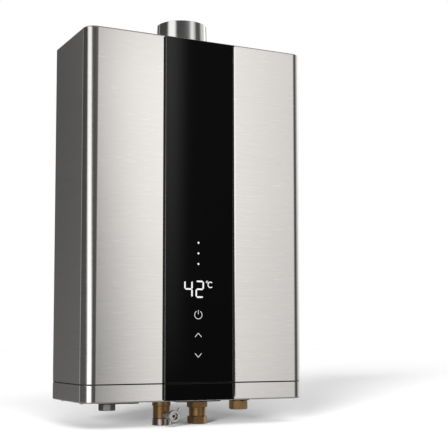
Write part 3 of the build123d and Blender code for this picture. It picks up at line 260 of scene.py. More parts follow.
class GlassSettings(bpy.types.PropertyGroup):
    """Sizes and colours of the glass strip and its lit marks."""

    bevel: length("Bevel", "Ground bevel along the upright edges of the glass", 0.0010)
    seam_bevel: length("Seam bevel", "Ground bevel where the two lengths of glass meet", 0.0003)
    edge: length("Broken edge", "Small radius on the other edges of the glass", 0.0002)
    # The beads beside the glass are black fills of the gaps: painted shade where the gaps lie in shade
    shade_bead_gap: length("Seal gap", "Gap between the seal and the glass or the channel", 0.00015)
    shade_bead_depth: length("Seal depth", "How far the seal lies behind the front", 0.0015)
    shade_bead_round: length("Seal radius", "Rounded edges of the seal", 0.0006)
    mark_across: length("Mark offset", "How far the marks stand to the right of the middle", -0.0022)
    digit_low: length("Digit base", "Height of the digits above the casing's underside", 0.157)
    digit_height: length("Digit height", "Height of one digit", 0.0265)
    digit_width: length("Digit width", "Width of one digit", 0.0142)
    stroke: length("Stroke", "Width of a digit's bars", 0.0024)
    mark_stroke: length("Mark stroke", "Width of the lines of the touch marks", 0.00095)
    dot_radius: length("Dot radius", "Radius of the dots above the digits", 0.0015)
    proud: length("Mark thickness", "How far a mark stands in front of the glass", 0.00006)
    glass: colour("Glass", "Colour of the back-painted glass", (0.0010, 0.0010, 0.0011))
    ground: colour("Ground edge", "Colour of the ground bevels of the glass", (0.15, 0.15, 0.15))
    light: colour("Light", "Colour of the lit marks", (1.0, 1.0, 1.0))


class FlueSettings(bpy.types.PropertyGroup):
    """Sizes and colour of the flue collar."""

    tube_radius: length("Tube radius", "Outer radius of the flue tube", 0.040)
    tube_wall: length("Tube wall", "Thickness of the tube", 0.001)
    flange_height: length("Flange height", "Thickness of the flange", 0.0008)
    root_flare: length("Root flare", "How far the tube flares just above its flange", 0.0012)
    sides: IntProperty(name="Sides", description="Faces round the tube", default=160)
    steel: colour("Steel", "Colour of the polished steel", (0.70, 0.695, 0.69))


class FittingSettings(bpy.types.PropertyGroup):
    """Sizes and colours of the fittings under the casing."""

    nut_chamfer: length("Nut chamfer", "Height of the turned chamfer at a nut's ends", 0.0012)
    nut_edge: length("Nut edge", "Broken edge between two flats of a nut", 0.0003)
    shoulder: length("Nut shoulder", "Thickness of a union nut's shoulder", 0.0020)
    pocket: length("Nut pocket", "Height of the pocket for the tail's flange", 0.0026)
    pocket_gap: length("Pocket gap", "How much wider the pocket is than the thread", 0.0005)
    thread_pitch: length("Thread pitch", "Pitch of the pipe threads", 0.0018)
    thread_depth: length("Thread depth", "Depth of the pipe threads", 0.0007)
    mouth: length("Mouth chamfer", "Chamfer at the mouth of a bore", 0.0005)
    water_bore: length("Water nut bore", "Radius of the hole in a water nut's shoulder", 0.0099)
    water_thread: length("Water thread", "Inner radius of a water nut's thread", 0.01206)
    gas_bore: length("Gas nut bore", "Radius of the hole in the gas nut's shoulder", 0.0073)
    gas_thread: length("Gas thread", "Inner radius of the gas nut's thread", 0.00932)
    lock_bore: length("Lock nut bore", "Radius of the lock nut's hole", 0.01325)
    lock_corner: length("Lock nut corner", "Radius of the lock nut to its corners", 0.01655)
    outlet_corner: length("Outlet nut corner", "Radius of the outlet's union nut to its corners", 0.01615)
    gas_corner: length("Gas nut corner", "Radius of the gas nut to its corners", 0.0151)
    gland_corner: length("Gland corner", "Radius of the gland's eight-sided body to its corners", 0.01396)
    gland_inner_corner: length("Gland nut corner", "Radius of the gland's inner nut to its corners", 0.0140)
    gland_inner_height: length("Gland nut height", "Height of the gland's inner nut", 0.0050)
    gland_height: length("Gland height", "Height of the gland's eight-sided body", 0.0102)
    gland_mouth: length("Gland mouth", "Radius of the gland's mouth", 0.0076)
    gland_mouth_depth: length("Gland mouth depth", "Depth of the gland's mouth", 0.0020)
    gland_thread: length("Gland thread", "Radius of the gland's thread", 0.0090)
    gland_bore: length("Gland bore", "Radius of the cable's hole", 0.0055)
    plate_half: length("Plate half depth", "Half the depth of the black plates", 0.0200)
    plate_corner: length("Plate corner", "Corner radius of the black plates", 0.0050)
    plate_edge: length("Plate edge", "Rounded edge of the black plates", 0.0007)
    plate_gap: length("Plate gap", "Gap between a plate and what passes through it", 0.0003)
    washer: length("Washer radius", "Radius of the gas fitting's black washer", 0.0185)
    gas_neck: length("Gas neck", "Radius of the gas fitting's neck", 0.0090)
    outlet_neck: length("Outlet neck", "Radius of the hot water outlet's neck", 0.0132)
    inlet_neck: length("Inlet neck", "Radius of the inlet's neck inside the casing", 0.0105)
    inlet_collar: length("Inlet collar", "Radius of the inlet's collar", 0.0146)
    inlet_collar_height: length("Inlet collar height", "Height of the inlet's collar", 0.0112)
    inlet_body: length("Inlet body", "Radius of the inlet's body", 0.0133)
    inlet_body_height: length("Inlet body height", "Height of the inlet's body", 0.0190)
    tail: length("Tail radius", "Radius of the tail below a body", 0.0096)
    tail_flange: length("Tail flange", "Radius of the tail's flange", 0.0116)
    tail_flange_height: length("Flange height", "Thickness of the tail's flange", 0.0020)
    tail_bore: length("Tail bore", "Radius of the water way", 0.0070)
    turning_edge: length("Turned edge", "Broken edge of the turned pieces", 0.0004)
    drain_boss: length("Drain boss", "Radius of the boss that carries the drain valve", 0.0053)
    drain_bore: length("Drain bore", "Radius of the drain's hole", 0.0036)
    sleeve_rear: length("Sleeve rear", "Radius of the drain sleeve where it leaves the boss", 0.0048)
    knob: length("Knob radius", "Radius of the drain knob's ring", 0.0095)
    knob_hole: length("Knob hole", "Radius of the hole in the drain knob", 0.0052)
    knob_edge: length("Knob edge", "Rounded edge of the drain knob", 0.0008)
    wing_width: length("Wing width", "Width of one wing of the drain knob", 0.0024)
    wing_root: length("Wing root", "Distance of a wing's root from the knob's axis", 0.0089)
    wing_tip: length("Wing tip", "Distance of a wing's tip from the knob's axis", 0.0153)
    screw_shank: length("Screw shank", "Radius of a casing screw's shank", 0.0020)
    screw_head: length("Screw head", "Radius of a casing screw's head", 0.0038)
    screw_head_height: length("Screw head height", "Height of a casing screw's head", 0.0018)
    screw_length: length("Screw length", "Length of a casing screw's shank", 0.0080)
    recess_width: length("Recess width", "Width of one slot of a screw's cross recess", 0.0009)
    recess_length: length("Recess length", "Length of one slot of a screw's cross recess", 0.0042)
    recess_depth: length("Recess depth", "Depth of a screw's cross recess", 0.0010)
    brass: colour("Brass", "Colour of the dull brass", (0.45, 0.272, 0.118))
    nickel: colour("Nickel", "Colour of the nickel plating", (0.56, 0.54, 0.51))
    satin_nickel: colour("Satin nickel", "Colour of the drain sleeve's plating", (0.78, 0.76, 0.73))
    dull_nickel: colour("Dull nickel", "Colour of the gland's plating", (0.36, 0.357, 0.34))
    brown_nickel: colour("Brown nickel", "Colour of the ring nut's plating", (0.40, 0.325, 0.29))
    copper: colour("Copper", "Colour of the bare copper", (0.66, 0.33, 0.19))


class StageSettings(bpy.types.PropertyGroup):
    """Camera, light and floor."""

    camera_place: FloatVectorProperty(
        name="Camera place",
        description="Where the camera stands",
        default=(-0.6645, -1.5648, -0.1890),
        subtype="TRANSLATION",
        unit="LENGTH",
    )
    camera_yaw: rotation("Camera yaw", "Turn to the right", 26.526)
    camera_pitch: rotation("Camera pitch", "Tilt upwards", 4.253)
    lens: amount("Lens", "Focal length in millimetres", 81.909)
    lens_shift: amount("Lens shift", "Upward shift of the view", 0.092)
    long_light: amount("Long shadow light", "Strength of the low light on the floor alone", 7.2)
    long_turn: rotation("Long shadow turn", "Turn of the low floor light to the left of the front", 40.0)
    long_height: rotation("Long shadow height", "Low light's angle above the floor", 9.5)
    long_spread: rotation("Long shadow spread", "Softness of the long shadow", 14.0)
    short_light: amount("Short shadow light", "Strength of the high light on the floor alone", 2.15)
    short_turn: rotation("Short shadow turn", "Turn of the high floor light to the left of the front", 12.0)
    short_height: rotation("Short shadow height", "High light's angle above the floor", 32.0)
    short_spread: rotation("Short shadow spread", "Softness of the short shadow", 30.0)
    soft_power: amount("Soft light", "Power of the soft light in watts", 16.0)
    sky_share: amount("Sky share", "Strength of the surroundings on matt surfaces", 0.35)
    floor_lift: amount("Floor lift", "Light of the floor itself", 0.03)
    floor: colour("Floor", "Colour of the floor", (0.90, 0.90, 0.90))


# Shader maths


class Value:
    """A shader socket that takes part in sums: each sum adds a Math node."""

    def __init__(self, tree, socket):
        self.tree = tree
        self.socket = socket

    def maths(self, operation, first, second):
        """Adds a Math node with two terms and gives back its result."""
        made = self.tree.nodes.new("ShaderNodeMath")
        made.operation = operation
        for place, term in enumerate((first, second)):
            if isinstance(term, Value):
                self.tree.links.new(term.socket, made.inputs[place])
            else:
                made.inputs[place].default_value = term
        return Value(self.tree, made.outputs[0])

    def __add__(self, other):
        return self.maths("ADD", self, other)

    def __radd__(self, other):
        return self.maths("ADD", other, self)

    def __sub__(self, other):
        return self.maths("SUBTRACT", self, other)

    def __rsub__(self, other):
        return self.maths("SUBTRACT", other, self)

    def __mul__(self, other):
        return self.maths("MULTIPLY", self, other)

    def __rmul__(self, other):
        return self.maths("MULTIPLY", other, self)

    def __truediv__(self, other):
        return self.maths("DIVIDE", self, other)

    def __gt__(self, other):
        return self.maths("GREATER_THAN", self, other)

    def __lt__(self, other):
        return self.maths("LESS_THAN", self, other)

    def __abs__(self):
        return self.maths("ABSOLUTE", self, 0.0)


class Finish:
    """A node tree, with one method that makes any of its nodes."""

    def __init__(self, tree):
        self.tree = tree
        tree.nodes.clear()

    def node(self, kind, settings=None, sockets=None, output=0):
        """Makes a node, sets it up, fills or links its sockets and gives back one output."""
        made = self.tree.nodes.new("ShaderNode" + kind)
        for key, setting in (settings or {}).items():
            if key == "stops":
                elements = made.color_ramp.elements
                while len(elements) < len(setting):
                    elements.new(1.0)
                for element, (place, shade) in zip(elements, setting):
                    element.position = place
                    element.color = (*shade, 1.0)
            else:
                setattr(made, key, setting)
        for key, term in (sockets or {}).items():
            if isinstance(term, Value):
                self.tree.links.new(term.socket, made.inputs[key])
            else:
                made.inputs[key].default_value = term
        return Value(self.tree, made.outputs[output]) if made.outputs else None

    def places(self, scale=(1.0, 1.0, 1.0), turn=(0.0, 0.0, 0.0)):
        """Object coordinates, scaled and turned."""
        spot = self.node("TexCoord", output="Object")
        return self.node("Mapping", sockets={"Vector": spot, "Scale": scale, "Rotation": turn})

    def noise(self, scale, detail=2.0, roughness=0.5):
        """Noise stretched by a scale for each axis."""
        sockets = {"Vector": self.places(scale), "Scale": 1.0, "Detail": detail, "Roughness": roughness}
        return self.node("TexNoise", sockets=sockets, output="Fac")

    def slope(self, term, span, ends=(0.0, 1.0), kind="SMOOTHSTEP"):
        """A number that goes from one end to the other while a term crosses a span."""
        return self.node("MapRange", {"interpolation_type": kind}, {
            "Value": term, "From Min": span[0], "From Max": span[1], "To Min": ends[0], "To Max": ends[1],
        })

    def between(self, noise, low, high):
        """A number from low to high by the middle range of a noise."""
        return self.slope(noise, (0.25, 0.75), (low, high), "LINEAR")

    def mixed(self, share, first, second):
        """A colour between two colours."""
        sockets = {0: share, 6: first, 7: second}
        return self.node("Mix", {"data_type": "RGBA"}, sockets, output=2)

    def bump(self, height, strength, distance):
        """Normals tilted by a height pattern."""
        return self.node("Bump", sockets={"Height": height, "Strength": strength, "Distance": distance})


def tinted(shade, factor):
    """A colour made lighter or darker, with its alpha."""
    return (*(min(1.0, part * factor) for part in shade), 1.0)


def material_for(name):
    """A new material and the finish that fills its tree."""
    made = bpy.data.materials.new(name)
    made.use_nodes = True
    return made, Finish(made.node_tree)


def surface(finish, sockets):
    """A principled surface linked to the material's output."""
    shader = finish.node("BsdfPrincipled", sockets=sockets, output="BSDF")
    finish.node("OutputMaterial", sockets={"Surface": shader})


def brushed_steel(name, shade):
    """Stainless sheet with fine level brush lines."""
    made, finish = material_for(name)
    long_lines = finish.noise((7.0, 7.0, 900.0), 3.0, 0.6)
    short_lines = finish.noise((55.0, 55.0, 1500.0), 2.0, 0.6)
    cloud = finish.noise((5.0, 5.0, 9.0), 2.0)
    scratches = finish.noise((40.0, 40.0, 520.0), 1.0)
    lines = long_lines * 0.55 + short_lines * 0.45
    tone = finish.between(lines * 0.8 + cloud * 0.2, 0.0, 1.0)
    sheet = finish.mixed(tone, tinted(shade, 0.90), tinted(shade, 1.08))
    bright = finish.slope(scratches, (0.62, 0.80), (0.0, 0.5), "LINEAR")
    surface(finish, {
        "Base Color": finish.mixed(bright, sheet, tinted(shade, 1.22)),
        "Metallic": 1.0,
        "Roughness": finish.between(lines, 0.14, 0.19),
        "Anisotropic": 0.88,
        "Anisotropic Rotation": 0.25,
        "Normal": finish.bump(lines, 0.05, 0.0002),
    })
    return made


def polished_steel(name, shade, low=0.10, high=0.17):
    """Drawn steel with faint lines round the tube."""
    made, finish = material_for(name)
    lines = finish.noise((30.0, 30.0, 1400.0), 3.0, 0.6)
    smear = finish.noise((26.0, 26.0, 14.0), 3.0)
    surface(finish, {
        "Base Color": finish.mixed(smear, tinted(shade, 0.93), tinted(shade, 1.05)),
        "Metallic": 1.0,
        "Roughness": finish.between(smear * 0.6 + lines * 0.4, low, high),
        "Normal": finish.bump(lines, 0.05, 0.0001),
    })
    return made


def tarnished_metal(name, shade, dark, low, high):
    """Turned metal, darker where it has tarnished."""
    made, finish = material_for(name)
    patches = finish.noise((95.0, 95.0, 70.0), 5.0, 0.62)
    specks = finish.noise((900.0, 900.0, 900.0), 2.0)
    tools = finish.noise((60.0, 60.0, 2600.0), 2.0)
    tone = finish.between(patches, 0.0, 1.0)
    surface(finish, {
        "Base Color": finish.mixed(tone, (*dark, 1.0), (*shade, 1.0)),
        "Metallic": 1.0,
        "Roughness": finish.between(1.0 - patches * 0.75 - specks * 0.25, low, high),
        "Normal": finish.bump(tools * 0.6 + specks * 0.4, 0.16, 0.0002),
    })
    return made


def galvanised_steel(name, shade):
    """Zinc-coated sheet with its spangle."""
    made, finish = material_for(name)
    sockets = {"Vector": finish.places((150.0, 150.0, 150.0)), "Scale": 1.0}
    cells = finish.node("TexVoronoi", {}, sockets, output="Color")
    spangle = finish.node("RGBToBW", sockets={"Color": cells})
    cloud = finish.noise((14.0, 14.0, 14.0), 4.0)
    tone = spangle * 0.6 + cloud * 0.4
    surface(finish, {
        "Base Color": finish.mixed(tone, tinted(shade, 0.82), tinted(shade, 1.12)),
        "Metallic": 0.85,
        "Roughness": finish.between(tone, 0.34, 0.52),
        "Normal": finish.bump(cloud, 0.06, 0.0004),
    })
    return made


def cast_metal(name, shade):
    """Die-cast aluminium with a fine pebbled skin."""
    made, finish = material_for(name)
    skin = finish.noise((1300.0, 1300.0, 1300.0), 3.0)
    cloud = finish.noise((40.0, 40.0, 40.0), 3.0)
    surface(finish, {
        "Base Color": finish.mixed(cloud, tinted(shade, 0.86), tinted(shade, 1.08)),
        "Metallic": 0.9,
        "Roughness": finish.between(cloud, 0.42, 0.58),
        "Normal": finish.bump(skin, 0.25, 0.0003),
    })
    return made


def moulded(name, shade, low, high, grain=1600.0, strength=0.12):
    """Moulded plastic, rubber or glaze with a fine grain."""
    made, finish = material_for(name)
    skin = finish.noise((grain, grain, grain), 2.0)
    cloud = finish.noise((35.0, 35.0, 35.0), 3.0)
    surface(finish, {
        "Base Color": finish.mixed(cloud, tinted(shade, 0.88), tinted(shade, 1.14)),
        "Roughness": finish.between(cloud, low, high),
        "Normal": finish.bump(skin, strength, 0.0002),
    })
    return made


def circuit_board(name, shade):
    """Green board with copper tracks under the lacquer."""
    made, finish = material_for(name)
    tracks = {"Vector": finish.places((210.0, 210.0, 210.0)), "Scale": 1.0, "Randomness": 0.25}
    cells = finish.node("TexVoronoi", {"distance": "MANHATTAN"}, tracks, output="Distance")
    track = (cells > 0.52) * (cells < 0.62)
    cloud = finish.noise((60.0, 60.0, 60.0), 2.0)
    board = finish.mixed(cloud, tinted(shade, 0.8), tinted(shade, 1.2))
    surface(finish, {
        "Base Color": finish.mixed(track, board, tinted(shade, 2.4)),
        "Roughness": finish.between(cloud, 0.30, 0.42),
        "Normal": finish.bump(track, 0.2, 0.0001),
    })
    return made


def black_glass(name, shade, ground, flat_half, seam_low, seam_high):
    """Back-painted black glass with a few faint wipe marks, and ground bevels at its sides and its seam."""
    made, finish = material_for(name)
    wipes = finish.noise((30.0, 30.0, 9.0), 4.0, 0.6)
    depth = finish.noise((3.0, 3.0, 2.0), 1.0)
    grit = finish.noise((2400.0, 2400.0, 500.0), 2.0)
    spot = finish.places()
    across = finish.node("SeparateXYZ", sockets={0: spot}, output="X")
    height = finish.node("SeparateXYZ", sockets={0: spot}, output="Z")
    in_seam = (height > seam_low) * (height < seam_high)
    bevel = finish.node("Math", {"operation": "MAXIMUM"}, {0: abs(across) > flat_half, 1: in_seam})
    face = finish.mixed(depth, tinted(shade, 0.85), tinted(shade, 1.15))
    edge = finish.mixed(grit, tinted(ground, 0.8), tinted(ground, 1.2))
    surface(finish, {
        "Base Color": finish.mixed(bevel, face, edge),
        "Roughness": finish.between(wipes, 0.035, 0.06) + bevel * 0.35,
        "Metallic": bevel * 0.8,
        "Specular IOR Level": 0.030,
    })
    return made


def lit_mark(name, shade, strength):
    """Light that shines through a mark in the glass, a little uneven at random."""
    made, finish = material_for(name)
    glow = finish.noise((160.0, 160.0, 160.0), 1.0)
    surface(finish, {
        "Base Color": (0.02, 0.02, 0.02, 1.0),
        "Roughness": 0.4,
        "Emission Color": finish.mixed(glow, tinted(shade, 0.94), tinted(shade, 1.0)),
        "Emission Strength": strength,
    })
    return made


def finishes():
    """Every material by name, made once. Most names are slots of the record."""
    scene = bpy.context.scene
    glass, fittings = scene.heater_glass, scene.heater_fittings
    flat_half = glass_high.x - glass.bevel + tiny
    seam_low = skirt_glass_high.z - glass.seam_bevel + tiny
    seam_high = glass_low.z + glass.seam_bevel - tiny
    recipes = {
        "brushed_steel": (brushed_steel, scene.heater_casing.steel),
        "polished_steel": (polished_steel, scene.heater_flue.steel),
        "bright_steel": (polished_steel, (0.56, 0.56, 0.56), 0.22, 0.34),
        "galvanised_steel": (galvanised_steel, (0.52, 0.54, 0.55)),
        "black_glass": (black_glass, glass.glass, glass.ground, flat_half, seam_low, seam_high),
        "brass": (tarnished_metal, fittings.brass, (0.29, 0.165, 0.07), 0.36, 0.50),
        "nickel": (tarnished_metal, fittings.nickel, (0.36, 0.335, 0.30), 0.12, 0.22),
        "satin_nickel": (tarnished_metal, fittings.satin_nickel, (0.55, 0.53, 0.50), 0.42, 0.55),
        "dull_nickel": (tarnished_metal, fittings.dull_nickel, (0.25, 0.248, 0.235), 0.30, 0.42),
        "brown_nickel": (tarnished_metal, fittings.brown_nickel, (0.27, 0.21, 0.185), 0.20, 0.32),
        "copper": (tarnished_metal, fittings.copper, (0.42, 0.19, 0.11), 0.24, 0.40),
        "cast_aluminium": (cast_metal, (0.58, 0.58, 0.58)),
        "black_plastic": (moulded, (0.018, 0.018, 0.019), 0.42, 0.55),
        "white_plastic": (moulded, (0.72, 0.72, 0.70), 0.36, 0.48),
        "circuit_board": (circuit_board, (0.02, 0.16, 0.07)),
        "black_rubber": (moulded, (0.015, 0.015, 0.015), 0.62, 0.80, 900.0, 0.2),
        "grey_silicone": (moulded, (0.35, 0.35, 0.36), 0.50, 0.66, 900.0, 0.15),
        "white_ceramic": (moulded, (0.80, 0.79, 0.75), 0.12, 0.22, 500.0, 0.04),
    }
    for slot, (maker, *terms) in recipes.items():
        if slot not in bpy.data.materials or not bpy.data.materials[slot].get("heater_finish"):
            old = bpy.data.materials.get(slot)
            if old:
                old.name = slot + "_frame"
            made = maker(slot, *terms)
            made["heater_finish"] = True
    return bpy.data.materials


# Modelling by hand


def put_down():
    """Leaves edit mode and deselects everything."""
    if bpy.context.mode != "OBJECT":
        bpy.ops.object.mode_set(mode="OBJECT")
    bpy.ops.object.select_all(action="DESELECT")


def take_up(piece):
    """Makes a piece the only selected one."""
    put_down()
    piece.select_set(True)
    bpy.context.view_layer.objects.active = piece


def edit(piece):
    """Opens a piece in edit mode."""
    take_up(piece)
    bpy.ops.object.mode_set(mode="EDIT")


def settled(piece):
    """Takes a piece's place, turn and size into its mesh."""
    take_up(piece)
    bpy.ops.object.transform_apply(location=True, rotation=True, scale=True)
    return piece


def named(name):
    """Names the primitive that was just added and settles it."""
    piece = bpy.context.object
    piece.name = piece.data.name = name
    return settled(piece)


def block(name, low, high):
    """A cube at its size and place."""
    put_down()
    low, high = Vector(low), Vector(high)
    bpy.ops.mesh.primitive_cube_add(size=1.0, location=(low + high) / 2, scale=high - low)
    return named(name)


def pick(piece, kind, test):
    """Selects the vertices, edges or faces of the piece in hand that pass a test."""
    bpy.ops.mesh.select_mode(type=kind)
    bpy.ops.mesh.select_all(action="DESELECT")
    mesh = bmesh.from_edit_mesh(piece.data)
    mesh.normal_update()
    found = 0
    for item in {"VERT": mesh.verts, "EDGE": mesh.edges, "FACE": mesh.faces}[kind]:
        if test(item):
            item.select_set(True)
            found += 1
    mesh.select_flush_mode()
    bmesh.update_edit_mesh(piece.data)
    if not found:
        raise RuntimeError(f"{piece.name}: nothing to select")


def bevelled(piece, width, steps, test):
    """Bevels the edges of the piece in hand that pass a test."""
    pick(piece, "EDGE", test)
    bpy.ops.mesh.bevel(offset=width, segments=steps, affect="EDGES")


def near(first, second):
    """True where two lengths are the same."""
    return abs(first - second) < tiny


def edge_line(edge):
    """The middle and direction of an edge."""
    first, second = (vertex.co for vertex in edge.verts)
    return (first + second) / 2, (second - first).normalized()


def is_upright(edge):
    """True for an edge that stands straight up."""
    return abs(edge_line(edge)[1].z) > 0.999


def set_modifier(piece, kind, **settings):
    """Adds a modifier, sets it up and applies it."""
    take_up(piece)
    bpy.ops.object.modifier_add(type=kind)
    made = piece.modifiers[-1]
    for key, setting in settings.items():
        setattr(made, key, setting)
    bpy.ops.object.modifier_apply(modifier=made.name)


def cut(piece, tool, operation="DIFFERENCE"):
    """Cuts a piece with a tool, which is then thrown away."""
    set_modifier(piece, "BOOLEAN", object=tool, operation=operation, solver="EXACT")
    bpy.data.objects.remove(tool)


def joined(piece, *others):
    """Joins the others into the piece."""
    take_up(piece)
    for other in others:
        other.select_set(True)
    bpy.ops.object.join()
    return piece


def gathered(name, pieces):
    """Joins pieces into one of a new name."""
    whole = joined(*pieces)
    whole.name = whole.data.name = name
    return whole


def smooth(piece, angle=32.0):
    """Smooth shading with flat faces kept flat."""
    take_up(piece)
    bpy.ops.object.shade_smooth_by_angle(angle=radians(angle))
    set_modifier(piece, "WEIGHTED_NORMAL", keep_sharp=True, weight=100)


def finished(piece, body, slot, *nodes, material=None, edge=0.0, angle=32.0):
    """Breaks the edges, shades and paints a piece, and seats it on its body."""
    if edge:
        set_modifier(
            piece, "BEVEL", width=edge, segments=2, limit_method="ANGLE", angle_limit=radians(angle),
            use_clamp_overlap=True,
        )
    smooth(piece, angle)
    piece.data.materials.clear()
    piece.data.materials.append(material or finishes()[slot])
    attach(piece, body)
    if nodes:
        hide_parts(*nodes)
    put_down()
    return piece


def turned(name, centre, rings, sides, closed=True):
    """Turns (radius, height) rings about an upright axis: each ring is extruded from the last."""
    put_down()
    radius, height = rings[0]
    fill = "NOTHING" if closed else "NGON"
    bpy.ops.mesh.primitive_circle_add(
        vertices=sides, radius=radius, fill_type=fill, location=(centre[0], centre[1], height)
    )
    piece = named(name)
    edit(piece)
    bpy.ops.mesh.select_all(action="SELECT")
    for next_radius, next_height in rings[1:]:
        bpy.ops.mesh.extrude_region_move(TRANSFORM_OT_translate={"value": (0.0, 0.0, next_height - height)})
        if next_radius != radius:
            share = next_radius / radius
            bpy.ops.transform.resize(
                value=(share, share, 1.0), center_override=(centre[0], centre[1], next_height)
            )
        radius, height = next_radius, next_height
    if closed:
        bpy.ops.mesh.select_all(action="SELECT")
        bpy.ops.mesh.remove_doubles(threshold=merge)
    bpy.ops.mesh.select_all(action="SELECT")
    bpy.ops.mesh.normals_make_consistent(inside=False)
    put_down()
    return piece


# Casing


def round_front_corners(piece, casing, inset=0.0):
    """Bends the two upright front corners of a block."""
    bevelled(piece, casing.corner_radius - inset, casing.corner_steps, lambda e: is_upright(e)
             and near(e.verts[0].co.y, front + inset) and near(abs(e.verts[0].co.x), cover_high.x - inset))


def steel_band(name, casing, low, high, inset=0.0, thickness=None):
    """Bent sheet: sides, rounded corners and front, with the channel pressed into it."""
    half = casing.channel_half + inset
    face = front + inset
    floor = face + casing.channel_depth
    band = block(name, (inset - cover_high.x, face, low), (cover_high.x - inset, cover_high.y, high))
    edit(band)
    pick(band, "FACE", lambda f: f.normal.y > 0.5 or abs(f.normal.z) > 0.5)
    bpy.ops.mesh.delete(type="FACE")
    round_front_corners(band, casing, inset)
    for side in (-1, 1):
        bpy.ops.mesh.select_all(action="SELECT")
        bpy.ops.mesh.bisect(plane_co=(side * half, 0.0, 0.0), plane_no=(1.0, 0.0, 0.0))
    pick(band, "FACE", lambda f: f.normal.y < -0.99 and abs(f.calc_center_median().x) < half / 2)
    bpy.ops.mesh.extrude_region_move(TRANSFORM_OT_translate={"value": (0.0, casing.channel_depth, 0.0)})
    pick(band, "FACE", lambda f: abs(f.normal.z) > 0.5)
    bpy.ops.mesh.delete(type="FACE")
    for depth, radius, steps in ((face, casing.channel_chamfer, 1), (floor, casing.channel_inner, 3)):
        bevelled(band, radius, steps, lambda e: is_upright(e) and near(abs(e.verts[0].co.x), half)
                 and near(e.verts[0].co.y, depth))
    bpy.ops.mesh.select_all(action="SELECT")
    bpy.ops.mesh.normals_make_consistent(inside=False)
    put_down()
    set_modifier(band, "SOLIDIFY", thickness=thickness or casing.sheet, offset=-1.0, use_even_offset=True)
    return band


def steel_lip(name, casing, outer, inward):
    """Ring that turns in at the end of a band, round at its rim and thin across the channel."""
    width = casing.lip_width
    inner, thin = outer + inward * lip_height(casing), outer + inward * casing.sheet
    low, high = sorted((outer, inner))
    lip = block(name, (-cover_high.x, front, low), (cover_high.x, cover_high.y, high))
    edit(lip)
    round_front_corners(lip, casing)
    pick(lip, "FACE", lambda f: abs(f.normal.z) > 0.5)
    bpy.ops.mesh.inset(thickness=width, depth=0.0)
    bpy.ops.mesh.bridge_edge_loops()
    reach = cover_high.x - width / 2

    def outer_rim(edge):
        middle = edge_line(edge)[0]
        if not all(near(vertex.co.z, outer) for vertex in edge.verts):
            return False
        if not any(abs(face.normal.z) < 0.1 for face in edge.link_faces):
            return False
        return abs(middle.x) > reach or middle.y < front + width / 2 or middle.y > cover_high.y - width / 2

    bevelled(lip, casing.lip_round, 6, outer_rim)
    put_down()
    low, high = sorted((thin, inner + inward * casing.sheet))
    half, floor = casing.channel_half, front + casing.channel_depth
    cut(lip, block(name + "_channel", (-half, front - casing.sheet, low), (half, floor, high)))
    return lip


def lip_height(casing):
    """Height of the ring that turns in at the end of a band."""
    return casing.lip_round + casing.sheet


def break_seam_edge(piece, radius, height):
    """Rounds the outer edge of the sheet along the seam."""
    middle = Vector((0.0, (cover_low.y + cover_high.y) / 2, 0.0))

    def faces_out(face):
        spot = face.calc_center_median()
        return abs(face.normal.z) < 0.1 and face.normal.dot(spot - middle) > 0.0

    edit(piece)
    bevelled(piece, radius, 3, lambda e: all(near(v.co.z, height) for v in e.verts)
             and any(faces_out(f) for f in e.link_faces)
             and any(abs(f.normal.z) > 0.9 for f in e.link_faces))
    put_down()


class HEATER_OT_cover(bpy.types.Operator):
    """Model the brushed steel front cover"""

    bl_idname = "heater.cover"
    bl_label = "Front cover"

    def execute(self, context):
        casing = context.scene.heater_casing
        lip_low = cover_high.z - lip_height(casing)
        band = steel_band("cover_sheet", casing, cover_low.z, lip_low)
        break_seam_edge(band, casing.seam_round, cover_low.z)
        lip = steel_lip("cover_lip", casing, cover_high.z, -1)
        finished(joined(band, lip), "casing", "brushed_steel", "front_cover")
        return {"FINISHED"}


class HEATER_OT_skirt(bpy.types.Operator):
    """Model the brushed steel skirt below the seam"""

    bl_idname = "heater.skirt"
    bl_label = "Lower skirt"

    def execute(self, context):
        casing = context.scene.heater_casing
        lip_high = skirt_low.z + lip_height(casing)
        seam = cover_low.z - casing.seam_gap
        band = steel_band("skirt_sheet", casing, lip_high, seam)
        break_seam_edge(band, casing.skirt_round, seam)
        lip = steel_lip("skirt_lip", casing, skirt_low.z, 1)
        tongue_inset = casing.sheet + casing.tongue_gap
        tongue = steel_band("skirt_tongue", casing, seam - casing.tongue_root, skirt_high.z, tongue_inset)
        finished(joined(band, lip, tongue), "casing", "brushed_steel", "lower_skirt")
        # A black sheet behind the seam: painted shade that darkens the gap between the cover and the skirt
        shade_sheet = steel_band(
            "seam_gasket", casing, seam - casing.shade_sheet_reach, cover_low.z + casing.shade_sheet_reach,
            tongue_inset - casing.shade_sheet - tiny / 2, casing.shade_sheet,
        )
        finished(shade_sheet, "casing", "black_rubber")
        return {"FINISHED"}


